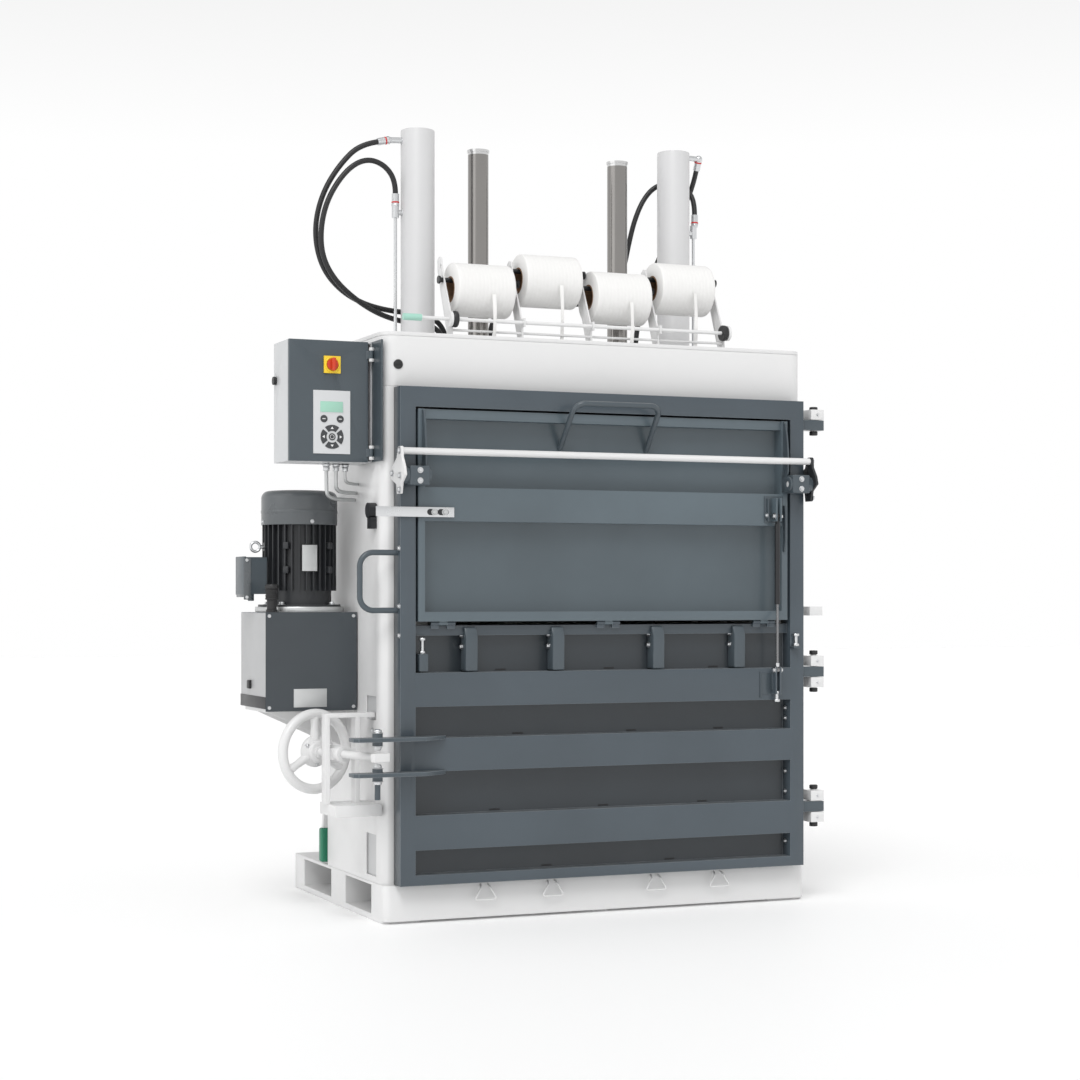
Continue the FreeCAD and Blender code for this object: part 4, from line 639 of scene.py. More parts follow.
# Painted highlight: a lighter paint on the bevels of these parts stands in for light catching their rounded edges; its
# rub marks are real wear
wornEdge = paintMaterial("wornEdge", (0.175, 0.2, 0.22), 0.3, 0.1, dust=0.1, rub=0.3, bare=(0.4, 0.41, 0.42))
edgeHighlightTable = {node: wornEdge for node in "door_frame flap_panel lock_plates cabinet_door tank door_hinges".split()}
softEdges = {
    "door_paint": {
        "door_frame": 0.0032, "flap_panel": 0.0028, "lock_plates": 0.002, "strap_claws": 0.007, "door_hinges": 0.0015,
        "cabinet_door": 0.0025, "tank": 0.003, "terminal_box": 0.004, "fan_cover": 0.002, "bar_bearings": 0.003,
    },
    "body_paint": {
        "base_frame": 0.003, "header_beam": 0.003, "top_plate": 0.002, "cabinet_box": 0.002, "lock_yoke": 0.003,
        "lock_spindle": 0.002, "body_hinges": 0.0025, "rack_plates": 0.0012, "left_cylinder": 0.004,
        "right_cylinder": 0.004, "left_side_wall": 0.0015, "right_side_wall": 0.0015, "press_plate": 0.004,
        "ejector_lever": 0.002, "locking_bar": 0.0015,
    },
    "zinc_steel": {
        "sensor_bar": 0.0012,
    },
}
for slotName, edgeWidths in softEdges.items():
    for nodeName, edgeWidth in edgeWidths.items():
        softenPart(nodeName, edgeWidth, edgeHighlightTable.get(nodeName))
print("finishes set")


# strap rolls
rollSize = {"radius": 0.087, "core": 0.038, "wide": 0.2, "cardboard": 0.0045, "rounding": 0.006, "strap": 0.012}


def makeStrapWeave(name, spot):
    material, tree, shader = startMaterial(name)
    coords = objectCoords(tree)
    centred = mapTo(tree, coords, Location=[-v for v in spot])
    rings = waveAt(tree, centred, 190, 1.2, wave_type="RINGS", rings_direction="X")
    rings.inputs["Detail"].default_value = 2
    bands = waveAt(tree, centred, 24, 0.8, bands_direction="X")
    lines = mathNode(tree, "ADD", rings.outputs["Fac"], mathNode(tree, "MULTIPLY", bands.outputs["Fac"], 0.6))
    color = mixColor(tree, mapRange(tree, lines, 0.0, 1.6, 0.0, 1.0), (0.775, 0.77, 0.76), (0.8, 0.795, 0.785))
    cloudy = mapRange(tree, noiseAt(tree, coords, 8, 4), 0.3, 0.7, 0.0, 0.25)
    tree.links.new(mixColor(tree, cloudy, color, (0.755, 0.75, 0.735)), shader.inputs["Base Color"])
    tree.links.new(mapRange(tree, lines, 0.0, 1.6, 0.72, 0.55), shader.inputs["Roughness"])
    shader.inputs["Sheen Weight"].default_value = 0.2
    bumpOn(tree, shader, lines, 0.07, 0.0004)
    return material


def makeStrapRoll(number):
    low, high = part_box(f"strap_roll_{number}")
    middle = [(a + b) / 2 for a, b in zip(low, high)]
    half, outer, inner, soft = rollSize["wide"] / 2 - 0.001, rollSize["radius"] - 0.0008, rollSize["core"], rollSize["rounding"]
    wall = rollSize["cardboard"]
    outline = [(-half, inner + wall), (-half, outer - soft), (-half + soft * 0.3, outer - soft * 0.3),
        (-half + soft, outer)]
    steps = 14
    for i in range(1, steps):
        along = -half + soft + (2 * half - 2 * soft) * i / steps
        outline.append((along - 0.0012, outer))
        outline.append((along, outer - 0.0003))
        outline.append((along + 0.0012, outer))
    outline += [(half - soft, outer), (half - soft * 0.3, outer - soft * 0.3), (half, outer - soft), (half, inner + wall),
        (-half, inner + wall)]
    roll = makeTurned(f"strapRoll{number}", outline, middle, (1, 0, 0), 96)
    finishPiece(roll, makeStrapWeave(f"strapWeave{number}", middle), f"roll_{number}", "strap_fabric", 30)
    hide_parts(f"strap_roll_{number}")
    tubeLine = [(-half - 0.001, inner), (-half - 0.001, inner + wall - 0.0002), (half + 0.001, inner + wall - 0.0002),
        (half + 0.001, inner), (-half - 0.001, inner)]
    tube = makeTurned(f"rollTube{number}", tubeLine, middle, (1, 0, 0), 64)
    finishPiece(tube, cardboard, f"roll_{number}", "strap_fabric")
    return middle


rollMiddles = [makeStrapRoll(number) for number in range(1, 5)]


def hangStrap(number, middle):
    wide, thick, deck = rollSize["strap"], 0.0008, 1.8565
    y = middle[1] - rollSize["radius"] - 0.0006
    x = middle[0] + 0.02
    verts, faces = [], []
    rows = 14
    for i in range(rows + 1):
        share = i / rows
        z = middle[2] - 0.02 - (middle[2] - 0.02 - deck) * share
        bow = 0.006 * math.sin(math.pi * share)
        twist = 0.0015 * math.sin(5 * share + number)
        verts += [(x - wide / 2, y - bow + twist, z), (x + wide / 2, y - bow - twist, z)]
        if i:
            faces.append((2 * i - 2, 2 * i - 1, 2 * i + 1, 2 * i))
    strap = newPiece(f"hangingStrap{number}", verts, [], faces)
    thickness = strap.modifiers.new("thickness", "SOLIDIFY")
    thickness.thickness = thick
    bpy.ops.object.modifier_apply(modifier="thickness")
    finishPiece(strap, bpy.data.materials[f"strapWeave{number}"], "frame", "strap_fabric")


for number, middle in enumerate(rollMiddles, 1):
    hangStrap(number, middle)
print("strap rolls wound:", len(rollMiddles))


# keypad and switch
keypad = {"face": -0.326, "middle": -0.8925, "ring": 1.526, "ringOuter": 0.0375, "ringInner": 0.0185, "gap": 14,
          "keyOffsets": (-0.0265, 0.0265), "keyRow": 1.582, "keyRadius": 0.0115, "hubRadius": 0.0112}


def onPad(across, up, back):
    return (keypad["middle"] + across, keypad["face"] + back, up)


def keySector(name, turn):
    outline = []
    half = math.radians(45 - keypad["gap"] / 2)
    for way, radius in ((1, keypad["ringOuter"]), (-1, keypad["ringInner"])):
        for i in range(9):
            angle = turn - way * half + way * 2 * half * i / 8
            outline.append((keypad["middle"] + radius * math.cos(angle), keypad["ring"] + radius * math.sin(angle)))
    return makePlate(name, outline, "XZ", keypad["face"] - 0.0008, keypad["face"] + 0.0012, 0.0003)


def roundKey(name, across, up, radius):
    return makeRound(name, onPad(across, up, -0.0006), onPad(across, up, 0.001), radius, 40, 0.0003)


sectors = [keySector(f"keySector{i}", math.radians(90 * i)) for i in range(4)]
rounds = [roundKey(f"roundKey{i}", across, keypad["keyRow"], keypad["keyRadius"])
    for i, across in enumerate(keypad["keyOffsets"])]
hubKey = roundKey("hubKey", 0, keypad["ring"], keypad["hubRadius"])
finishSet("keypadKeys", sectors + rounds + [hubKey], keyInk, "cabinet_door_body", "keypad_foil")
marks = []
for i in range(4):
    turn = math.radians(90 * i)
    out, side = Vector((math.cos(turn), math.sin(turn))), Vector((-math.sin(turn), math.cos(turn)))
    middleSpot = Vector((keypad["middle"], keypad["ring"])) + out * 0.0275
    corners = [middleSpot + out * 0.0045, middleSpot - out * 0.003 + side * 0.005, middleSpot - out * 0.003 - side * 0.005]
    marks.append(makePlate(f"arrow{i}", [tuple(c) for c in corners], "XZ", keypad["face"] - 0.0011, keypad["face"] - 0.0007,
        0))
for i, across in enumerate(keypad["keyOffsets"]):
    dashEnds = onPad(across - 0.005, keypad["keyRow"] - 0.0012, -0.0009), onPad(across + 0.005, keypad["keyRow"] + 0.0012,
        -0.0005)
    marks.append(makeBlock(f"dash{i}", *dashEnds, 0.0002, 1))
marks.append(makeTurned("hubRing", [(0, 0.0058), (0.0004, 0.0058), (0.0004, 0.007), (0, 0.007), (0, 0.0058)],
    onPad(0, keypad["ring"], -0.0005), (0, -1, 0), 40))
finishSet("keypadMarks", marks, keyLight, "cabinet_door_body", "keypad_foil")
pane = makeBlock("displayPane", (-0.931, keypad["face"] - 0.0007, 1.603), (-0.857, keypad["face"] + 0.001, 1.6365), 0.0006)
finishPiece(pane, displayMint, "cabinet_door_body", "keypad_foil")
switchRing = makeTurned("switchRing", [(0, 0.0195), (0.003, 0.0195), (0.0036, 0.0205), (0.0036, 0.0235), (0.003, 0.0245),
    (0, 0.0245), (0, 0.0195)], (-0.892, -0.327, 1.752), (0, -1, 0), 56)
finishPiece(switchRing, yellowPlastic, "cabinet_door_body", "switch_yellow")
print("keypad and switch dressed")


# power pack trim
motor = {"x": -0.902, "y": 0.0, "flangeTop": 1.000, "boltCircle": 0.1185, "cowlFace": 0.1233, "screwHeight": 1.268}


def aroundMotor(angle, radius, z):
    turn = math.radians(angle)
    return (motor["x"] + radius * math.sin(turn), motor["y"] - radius * math.cos(turn), z)


def motorCollar(name, inner, outer, tall, chamferAlong, chamferOut, z):
    shoulder = outer - chamferOut
    outline = [(0, inner), (0, shoulder), (chamferAlong, outer), (tall - chamferAlong, outer), (tall, shoulder),
        (tall, inner), (0, inner)]
    return makeTurned(name, outline, (motor["x"], motor["y"], z), (0, 0, 1), 96)


flangeRing = motorCollar("flangeRing", 0.128, 0.1435, 0.017, 0.002, 0.001, 0.976)
finishPiece(flangeRing, castAlloy, "frame")
setBolts("flangeBolts", 0.0095, 0.0075, [(aroundMotor(a, motor["boltCircle"], motor["flangeTop"]), (0, 0, 1))
    for a in (-45, 45, 135, 225)], "frame")
screwTurns = [math.radians(a) for a in (3, 93, 183, 273)]
screwSpots = [(aroundMotor(math.degrees(a), motor["cowlFace"], motor["screwHeight"]), (math.sin(a), -math.cos(a), 0))
    for a in screwTurns]
setBolts("cowlScrews", 0.005, 0.0035, screwSpots, "frame")
lugs = []
for angle in (-37, 37):
    for z in (1.112, 1.19):
        turn = math.radians(angle)
        lug = makeBlock("lug", (-0.009, -0.128, z - 0.011), (0.009, -0.108, z + 0.011), 0.003)
        lug.rotation_euler[2] = turn
        lug.location = (motor["x"], motor["y"], 0)
        applyPlace(lug)
        lugs.append(lug)
finishSet("motorLugs", lugs, finPaint, "frame", "black_paint")
cowlBand = motorCollar("cowlBand", 0.1225, 0.1248, 0.0105, 0.0015, 0.0006, 1.296)
finishPiece(cowlBand, cowlPaint, "frame")
coverLine = [(-1.058, 0.66), (-0.754, 0.66), (-0.754, 0.976), (-1.058, 0.976)]
# the tank cover's anthracite darkened as painted shade
shadedCoverPaint = paintMaterial("tankPaintFront", (0.038, 0.047, 0.055), 0.36, 0.08, dust=0.1, rub=0.1, bare=(0.2, 0.2, 0.2),
    coat=0.15)
finishPiece(makePlate("tankCover", coverLine, "XZ", -0.1525, -0.1498, 0.0008), shadedCoverPaint, "frame", "door_paint")
packPlates = {
    "ratingPlate": ((-0.929, -0.1235, 1.108), (-0.879, -0.1205, 1.192), 0.0006, castAlloy, "zinc_steel"),
    "infoPlate": ((-0.966, -0.1542, 0.672), (-0.856, -0.1522, 0.731), 0.0005, castAlloy, "zinc_steel"),
    "tankSkirt": ((-1.0585, -0.148, 0.668), (-1.0565, 0.15, 0.706), 0.0005, blackPaint, "black_paint"),
    "sightFrame": ((-1.066, 0.02, 0.727), (-1.056, 0.048, 0.755), 0.003, blackPlastic, "black_paint"),
}
for plateName, (low, high, edge, plateFinish, slotName) in packPlates.items():
    finishPiece(makeBlock(plateName, low, high, edge), plateFinish, "frame", slotName)
print("power pack trimmed")


# bolts and small fittings on the door and flap
claws = {"across": (-0.476, -0.178, 0.178, 0.476), "heights": (0.905, 0.868), "face": -0.0212, "y": -0.428}
clawSpots = [((x + claws["face"], claws["y"], z), (-1, 0, 0)) for x in claws["across"] for z in claws["heights"]]
setBolts("clawBolts", 0.0075, 0.006, clawSpots, "door")


def stopScrew(name, x, y, low, high):
    shank = makeRound(name + "Shank", (x, y, low), (x, y, high), 0.0055, 24, 0.0006)
    head = makeRound(name + "Head", (x, y, high - 0.008), (x, y, high), 0.0115, 6, 0.001, 1)
    nut = makeRound(name + "Nut", (x, y, low), (x, y, low + 0.009), 0.011, 6, 0.001, 1)
    return joinAll(name, [shank, head, nut])


stops = [stopScrew("stopLeft", -0.637, -0.447, 0.847, 0.897), stopScrew("stopRight", 0.678, -0.478, 0.86, 0.902)]
finishSet("stopScrews", stops, zincPlate, "door")
stopBlocks = [
    makeBlock("stopBlockLeft", (-0.652, -0.463, 0.792), (-0.622, -0.403, 0.847), 0.003),
    makeBlock("stopBlockRight", (0.664, -0.49, 0.852), (0.692, -0.464, 0.86), 0.002),
]
finishSet("stopBlocks", stopBlocks, greyPaint, "door")
strut = {"x": 0.601, "y": -0.49, "eyeHalf": 0.0105, "lowEye": 0.782, "topEye": 1.293}
for boltName, z, body in (("strutBolts", strut["lowEye"], "door"), ("strutTopBolts", strut["topEye"], "flap")):
    eyeSpots = [((strut["x"] + side * strut["eyeHalf"], strut["y"], z), (side, 0, 0)) for side in (-1, 1)]
    setBolts(boltName, 0.0085, 0.006, eyeSpots, body)
adjuster = stopScrew("strutAdjuster", strut["x"], strut["y"] + 0.004, 0.676, 0.712)
finishPiece(adjuster, zincPlate, "door")
rodEnd = makeRound("strutRodEnd", (strut["x"], strut["y"], 0.792), (strut["x"], strut["y"], 0.8055), 0.0068, 28, 0.001)
finishPiece(rodEnd, zincPlate, "strut_rod_body")
camBolts = []
for side in (-1, 1):
    for y, z in ((-0.5, 1.4), (-0.497, 1.356), (-0.495, 1.478), (-0.428, 1.41)):
        camBolts.append(((side * 0.7282, y, z), (side, 0, 0)))
setBolts("camBolts", 0.0085, 0.006, camBolts, "bar")
clamps = []
for side in (-1, 1):
    low, high = sorted((side * 0.64, side * 0.704))
    clamps.append(makeBlock("hubClamp", (low, -0.5285, 1.37), (high, -0.474, 1.43), 0.004, 3))
finishSet("hubClamps", clamps, greyPaint, "flap")
clampBolts = [((side * 0.672, -0.5285, z), (0, -1, 0)) for side in (-1, 1) for z in (1.384, 1.416)]
setBolts("clampBolts", 0.007, 0.005, clampBolts, "flap")
stripBolts = [((x, -0.4742, 1.2895), (0, -1, 0)) for x in (-0.571, -0.606)]
setBolts("stripBolts", 0.0078, 0.005, stripBolts, "flap", castAlloy)
print("door and flap fittings placed")


# hinge, lock, header and deck details
hingePin = {"axis": (0.772, -0.432), "radius": 0.014}
hingeDimples, pinCaps = [], []
for low, parts in ((1.586, (1,)), (0.756, (-1, 1)), (0.302, (-1, 1))):
    for way in parts:
        z = low + way * 0.036 + 0.017
        hingeDimples.append(((0.7745, -0.4552, z), (0, -1, 0)))
setBolts("hingeGreasers", 0.0035, 0.003, hingeDimples, "frame")
for low, high in ((1.572, 1.664), (0.706, 0.842), (0.252, 0.388)):
    for foot, tip in ((low - 0.002, low + 0.012), (high - 0.012, high + 0.002)):
        pinCaps.append(makeRound("pinCap", (*hingePin["axis"], foot), (*hingePin["axis"], tip), hingePin["radius"], 40,
            0.0025))
finishSet("pinCaps", pinCaps, blackPlastic, "frame")
plug = makeTurned("headerPlug", [(-0.002, 0.0), (-0.002, 0.015), (0.0028, 0.015), (0.0036, 0.0138), (0.0036, 0.0)],
    (-0.7, -0.4, 1.754), (0, -1, 0), 48)
slotBar = makeBlock("plugSlot", (-0.712, -0.405, 1.7528), (-0.688, -0.403, 1.7552), 0.0004, 1)
finishSet("headerPlug", [plug, slotBar], blackPlastic, "frame")
setBolts("wallBolts", 0.0085, 0.006, [((-0.7502, 0.02, 0.315), (-1, 0, 0)), ((-0.7502, -0.3, 0.6), (-1, 0, 0))], "frame")
lockPin = (-0.8, -0.495)
lockNuts = [((*lockPin, z), (0, 0, up)) for z, up in ((0.606, 1), (0.567, -1), (0.497, 1), (0.458, -1))]
setBolts("lockNuts", 0.0135, 0.009, lockNuts, "door")
tipCaps = []
for low, high in ((0.5525, 0.56), (0.504, 0.5115)):
    tipCaps.append(makeRound("tipCap", (*lockPin, low), (*lockPin, high), 0.0105, 32, 0.002))
finishSet("boltTips", tipCaps, zincPlate, "door")
ferruleRings = []
for base, heading in hoseEnds:
    ferruleRings.append(makeRound("ferruleRing", base + heading * 0.026, base + heading * 0.031, 0.0131, 40, 0.0006))
finishSet("ferruleRings", ferruleRings, ringRed, "frame", "hose_rubber")
discLine = [(0, 0.006), (0, 0.025), (0.004, 0.0262), (0.012, 0.0262), (0.016, 0.024), (0.016, 0.016), (0.012, 0.014),
    (0.012, 0.006), (0, 0.006)]
discCaps = []
for x, way in ((-0.498, -1), (0.478, 1)):
    discCaps.append(makeTurned("discCap", discLine, (x - way * 0.0135, -0.35, 1.911), (way, 0, 0), 56))
finishSet("shaftDiscs", discCaps, blackPlastic, "brake")
deckSlots = []
for x, y, z in rollMiddles:
    deckSlots.append(makeBlock("deckSlot", (x - 0.012, y - 0.099, 1.8563), (x + 0.052, y - 0.076, 1.8593), 0.001))
finishSet("deckSlots", deckSlots, blackPlastic, "frame")
print("hinges, lock and deck detailed")


# side flanges, slots and bolts on the door and flap
flange = {"x": 0.6375, "thick": 0.0055, "front": -0.4955, "root": -0.4605}
flanges = []
for side in (-1, 1):
    low, high = sorted((side * flange["x"], side * (flange["x"] + flange["thick"])))
    upper = [(flange["root"], 1.395), (flange["root"], 1.607), (-0.466, 1.6105), (-0.478, 1.6), (-0.4885, 1.56),
        (flange["front"], 1.5), (flange["front"], 1.44), (-0.48, 1.415), (-0.47, 1.395)]
    lower = [(flange["root"], 1.175), (flange["root"], 1.33), (-0.474, 1.33), (-0.4785, 1.3), (-0.4785, 1.215),
        (-0.47, 1.175)]
    flanges.append(makePlate("upperFlange", upper, "YZ", low, high))
    if side > 0:
        flanges.append(makePlate("lowerFlange", lower, "YZ", low, high))
finishSet("flapFlanges", flanges, greyPaint, "flap")

slotSize = {"long": 0.036, "tall": 0.0055, "face": -0.4123}
drainSlots = []
slotRows = ((0.7912, (-0.36, 0.02, 0.4)), (0.5872, (-0.3, 0.1, 0.42)), (0.3462, (-0.38, 0.0, 0.36)), (0.1602, (-0.2, 0.24)))
for z, spots in slotRows:
    for x in spots:
        low = (x - slotSize["long"] / 2, slotSize["face"] - 0.0006, z)
        high = (x + slotSize["long"] / 2, slotSize["face"] + 0.001, z + slotSize["tall"])
        drainSlots.append(makeBlock("drainSlot", low, high, 0.0004, 1))
finishSet("drainSlots", drainSlots, blackPaint, "door", "door_paint")

postBolts = [((0.6648, -0.43, z), (-1, 0, 0)) for z in (0.652, 0.618, 0.44, 0.372, 0.205)]
setBolts("postBolts", 0.0062, 0.004, postBolts, "door")
handleBolts = [((-0.7152, y, z), (-1, 0, 0)) for y, z in ((-0.456, 1.176), (-0.456, 0.996), (-0.456, 0.905))]
setBolts("handleBolts", 0.0065, 0.0045, handleBolts, "door")
ribPlates = [
    makeBlock("ribPlate", (0.548, -0.4695, 0.69), (0.553, -0.464, 0.776), 0.0008),
    makeBlock("ribPlateFoot", (0.553, -0.4668, 0.7), (0.59, -0.464, 0.77), 0.0008),
    makeBlock("strutShoe", (0.588, -0.48, 0.716), (0.614, -0.464, 0.776), 0.002),
]
finishSet("strutBracket", ribPlates, greyPaint, "door")
topPlates = [
    makeBlock("strutSeat", (0.566, -0.4665, 1.272), (0.636, -0.461, 1.36), 0.0012),
    makeBlock("strutWingLeft", (0.572, -0.48, 1.276), (0.577, -0.461, 1.352), 0.0012),
]
finishSet("strutTopBracket", topPlates, greyPaint, "flap")
setBolts("seatBolts", 0.0068, 0.005, [((0.5715, -0.473, 1.296), (-1, 0, 0))], "flap")

barSlot = {"half": 0.0085, "radius": 0.0098, "z": 1.2895}
barSlots = []
for x in (-0.577, -0.612):
    turns = [math.radians(a) for a in range(-85, 270, 18)]
    ends = []
    for a in turns:
        along = math.copysign(barSlot["half"], math.cos(a)) + barSlot["radius"] * math.cos(a)
        ends.append((x + along, barSlot["z"] + barSlot["radius"] * math.sin(a)))
    barSlots.append(makePlate("barSlot", ends, "XZ", -0.4745, -0.4728, 0.0002))
finishSet("stripSlots", barSlots, blackPaint, "flap", "zinc_steel")

# window backs in the side walls: grey plates painted as the shade on the white inside of the wall columns
window = {"front": -0.3405, "back": 0.178, "low": 0.128, "high": 1.68}
windowLine = [(window[end], window[level]) for end, level in (("front", "low"), ("back", "low"), ("back", "high"),
    ("front", "high"))]
windows = []
for side in (-1, 1):
    near, far = sorted((side * 0.7415, side * 0.7432))
    windows.append(makePlate("windowBack", windowLine, "YZ", near, far, 0))
# painted shade: mid grey in place of the shaded white inside the columns
finishSet("windowBacks", windows, paintMaterial("windowPaint", (0.5, 0.505, 0.51), 0.4, 0.03), "frame", "body_paint")

# cabinet fittings
barrel = {"x": -0.764, "y": -0.328, "radius": 0.0076, "near": 0.0125, "far": 0.0225}
cabinetHinges = []
for middle in (1.479, 1.788):
    for side in (-1, 1):
        low, high = sorted((middle + side * barrel["near"], middle + side * barrel["far"]))
        ends = (barrel["x"], barrel["y"], low), (barrel["x"], barrel["y"], high)
        cabinetHinges.append(makeRound("hingeBarrel", *ends, barrel["radius"], 32, 0.001))
        low, high = sorted((middle + side * 0.0126, middle + side * 0.0222))
        cabinetHinges.append(makeBlock("hingeLeaf", (-0.763, -0.332, low), (-0.7562, -0.324, high), 0.0008))
finishSet("cabinetHinges", cabinetHinges, whitePaint, "frame", "zinc_steel")
glands = []
glandSpots = ((-0.88, -0.225), (-0.845, -0.215), (-0.812, -0.205))
for x, y in glandSpots:
    glands.append(makeRound("glandNut", (x, y, 1.4485), (x, y, 1.44), 0.0135, 6, 0.0012, 1))
    glands.append(makeRound("glandBody", (x, y, 1.44), (x, y, 1.425), 0.0105, 32, 0.0025, 3))
finishSet("cableGlands", glands, zincPlate, "frame")


def bendConduit(name, spots, radius):
    piece = routeCurve(name, spots, radius, 5)
    selectOnly(piece)
    bpy.ops.object.convert(target="MESH")
    return bpy.context.object


conduits = {
    "conduitA": (0.0062, [(-0.88, -0.225, 1.427), (-0.88, -0.225, 1.372), (-0.874, -0.215, 1.346), (-0.845, -0.19, 1.338),
                          (-0.79, -0.15, 1.338), (-0.752, -0.12, 1.338)]),
    "conduitB": (0.0062, [(-0.845, -0.215, 1.427), (-0.845, -0.213, 1.386), (-0.838, -0.2, 1.366), (-0.812, -0.18, 1.36),
                          (-0.78, -0.155, 1.36), (-0.752, -0.135, 1.36)]),
    "conduitC": (0.005, [(-0.812, -0.205, 1.427), (-0.812, -0.203, 1.404), (-0.804, -0.195, 1.392), (-0.785, -0.18, 1.388),
                          (-0.752, -0.155, 1.388)]),
}
pipes = [bendConduit(pipeName, spots, radius) for pipeName, (radius, spots) in conduits.items()]
finishSet("steelConduits", pipes, castAlloy, "frame", "zinc_steel", 60)

dialSpot = (-0.892, -0.3275, 1.752)
knobLine = [(0.0, 0.0), (0.0, 0.0168), (0.0015, 0.0182), (0.006, 0.0182), (0.0078, 0.0165), (0.0078, 0.0)]
knobBase = makeTurned("knobBase", knobLine, dialSpot, (0, -1, 0), 48)
grip = makeBlock("knobGrip", (-0.0062, -0.0215, -0.0205), (0.0062, -0.0065, 0.0205), 0.0035, 3)
grip.location = dialSpot
applyPlace(grip)
mark = makeBlock("knobMark", (-0.893, -0.3494, 1.76), (-0.891, -0.3488, 1.7705), 0.0002, 1)
knob = joinAll("switchKnob", [knobBase, grip, mark])
finishPiece(knob, redPlastic, "switch_body", "switch_red")
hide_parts("switch_knob")

# breather, cover screws and terminal box lid
ribs = [(0.0, 0.0), (0.0, 0.019), (0.01, 0.019), (0.012, 0.016), (0.046, 0.016), (0.048, 0.021)]
for i in range(6):
    ribs += [(along + 0.006 * i, radius) for along, radius in ((0.05, 0.0215), (0.0535, 0.0215), (0.054, 0.019),
        (0.0557, 0.019))]
ribs += [(0.088, 0.0225), (0.098, 0.0225), (0.103, 0.0205), (0.105, 0.015), (0.105, 0.0)]
low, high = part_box("breather")
tallScale = (high[2] - low[2]) / ribs[-1][0]
wideScale = min(1.0, (high[0] - low[0]) / 2 / 0.0225)
foot = ((low[0] + high[0]) / 2, (low[1] + high[1]) / 2, low[2])
breather = makeTurned("breather", [(along * tallScale, radius * wideScale) for along, radius in ribs], foot, (0, 0, 1), 56)
finishPiece(breather, blackPlastic, "frame")
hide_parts("breather")
coverScrews = [((x, -0.1525, z), (0, -1, 0)) for x in (-1.046, -0.766) for z in (0.672, 0.964)]
setBolts("coverScrews", 0.0042, 0.0028, coverScrews, "frame")
low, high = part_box("terminal_box")
lidLow, lidHigh = (low[0] + 0.0002, low[1] - 0.0022, low[2] + 0.004), (low[0] + 0.024, low[1] + 0.001, high[2] - 0.004)
lid = makeBlock("terminalLid", lidLow, lidHigh, 0.0015)
finishPiece(lid, cowlPaint, "frame")
lidScrews = [((low[0] + 0.01, low[1] - 0.0022, z), (0, -1, 0)) for z in (low[2] + 0.012, high[2] - 0.012)]
setBolts("lidScrews", 0.0038, 0.0025, lidScrews, "frame")
capLow, capHigh = (low[0] + 0.0001, low[1] + 0.01, low[2] + 0.012), (low[0] + 0.003, high[1] - 0.01, high[2] - 0.012)
sideLid = makeBlock("terminalCap", capLow, capHigh, 0.0012)
finishPiece(sideLid, cowlPaint, "frame")

# handwheel casting
wheelCast = {"tilt": math.radians(16.5), "pivot": (-0.8, -0.522, 0.532), "reach": 0.362, "boltCircle": 0.04}
axis = Vector((-math.sin(wheelCast["tilt"]), math.cos(wheelCast["tilt"]), 0))
wheelSpot = Vector(wheelCast["pivot"]) + axis * wheelCast["reach"]
hubLine = [(-0.03, 0.0165), (-0.03, 0.031), (-0.027, 0.034), (-0.014, 0.036), (-0.008, 0.048), (-0.004, 0.05),
    (0.006, 0.05), (0.01, 0.047), (0.014, 0.034), (0.026, 0.032), (0.029, 0.029), (0.029, 0.0165), (-0.03, 0.0165)]
wheelParts = [makeTurned("castHub", hubLine, wheelSpot, axis, 72)]
up = Vector((0, 0, 1))
across = axis.cross(up)
for i in range(3):
    turn = math.radians(90 + 120 * i)
    way = across * math.cos(turn) + up * math.sin(turn)
    wheelParts.append(makeTurned("spoke", [(0.03, 0.0), (0.03, 0.0165), (0.05, 0.0145), (0.078, 0.0125), (0.098, 0.0135),
        (0.11, 0.015), (0.11, 0.0)], wheelSpot, way, 32))
finishSet("wheelCasting", wheelParts, whitePaint, "wheel", "body_paint", 50)
hubBolts = []
for i in range(3):
    turn = math.radians(30 + 120 * i)
    outward = across * math.cos(turn) + up * math.sin(turn)
    hubBolts.append((wheelSpot + axis * -0.0075 + outward * wheelCast["boltCircle"], tuple(-axis)))
setBolts("hubBolts", 0.0068, 0.0075, hubBolts, "wheel")
tailNut = makeRound("tailNut", wheelSpot + axis * 0.0295, wheelSpot + axis * 0.0425, 0.0185, 6, 0.0015, 1)
finishPiece(tailNut, zincPlate, "spindle")

sleeve = makeBlock("leverSleeve", (-0.763, 0.205, 0.1285), (-0.729, 0.239, 0.243), 0.007, 4)
finishPiece(sleeve, greenPlastic, "lever", "black_paint")
blade = makePlate("leverBlade", [(-0.756, 0.243), (-0.732, 0.243), (-0.7265, 0.42), (-0.74, 0.42)], "XZ", 0.213, 0.231,
    0.0015)
finishPiece(blade, whitePaint, "lever", "body_paint")

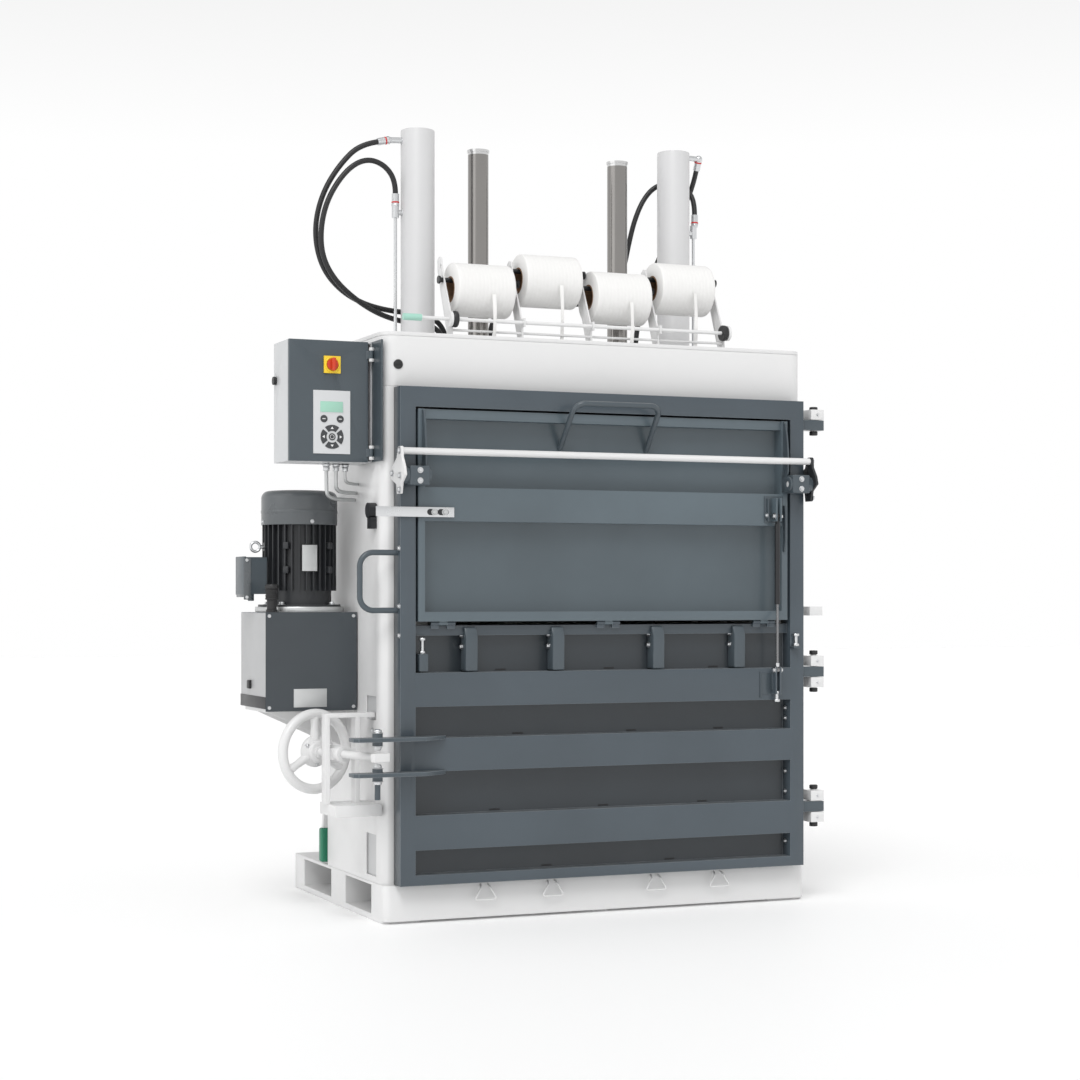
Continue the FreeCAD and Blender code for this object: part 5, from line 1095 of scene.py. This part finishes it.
# hose nuts and crimp rings
nuts = []
for base, heading in hoseEnds:
    nuts.append(makeRound("hoseNut", base + heading * 0.0335, base + heading * 0.0425, 0.0138, 6, 0.0012, 1))
    for shift in (-0.002, 0.004, 0.01, 0.016):
        nuts.append(makeTurned("crimp", [(-0.0018, 0.0108), (-0.0014, 0.0124), (0.0014, 0.0124), (0.0018, 0.0108),
            (-0.0018, 0.0108)], base + heading * (shift + 0.004), heading, 36))
finishSet("hoseNuts", nuts, zincPlate, "frame")
print("small details placed")


# floor, light and world
bpy.ops.object.select_all(action="DESELECT")
bpy.ops.mesh.primitive_plane_add(size=60, location=(0, 0, 0))
floor = bpy.context.object
floor.name = "floor"
floorPaint, _, floorShader = startMaterial("floorPaint")
floorShader.inputs["Base Color"].default_value = (0.97, 0.97, 0.97, 1)
floorShader.inputs["Emission Color"].default_value = (1, 1, 1, 1)
floorShader.inputs["Emission Strength"].default_value = 0.05
floorShader.inputs["Roughness"].default_value = 0.6
floor.data.materials.append(floorPaint)

# degrees around and up, strength, softness in degrees
suns = {
    "keySun": (-32, 50, 1.35, 28),
    "sideSun": (-78, 28, 0.45, 60),
    "topSun": (40, 72, 0.65, 80),
}
for sunName, (around, height, power, softness) in suns.items():
    turn, rise = math.radians(around), math.radians(height)
    source = Vector((math.sin(turn) * math.cos(rise), -math.cos(turn) * math.cos(rise), math.sin(rise)))
    bpy.ops.object.light_add(type="SUN", location=source * 8)
    sun = bpy.context.object
    sun.name = sunName
    sun.data.energy = power
    sun.data.angle = math.radians(softness)
    sun.rotation_mode = "QUATERNION"
    sun.rotation_quaternion = (-source).to_track_quat("-Z", "Y")


def lightStudio():
    world = bpy.data.worlds.new("studio")
    bpy.context.scene.world = world
    world.use_nodes = True
    tree = world.node_tree
    split = tree.nodes.new("ShaderNodeSeparateXYZ")
    tree.links.new(tree.nodes.new("ShaderNodeTexCoord").outputs["Generated"], split.inputs[0])
    lift = mapRange(tree, split.outputs["Z"], 0.2, 0.7, 1.0, 0.3)
    tree.links.new(greyLevel(tree, lift), tree.nodes["Background"].inputs["Color"])
    tree.nodes["Background"].inputs["Strength"].default_value = 1.0


lightStudio()
bpy.context.scene.view_settings.view_transform = "Standard"
print("studio lit")
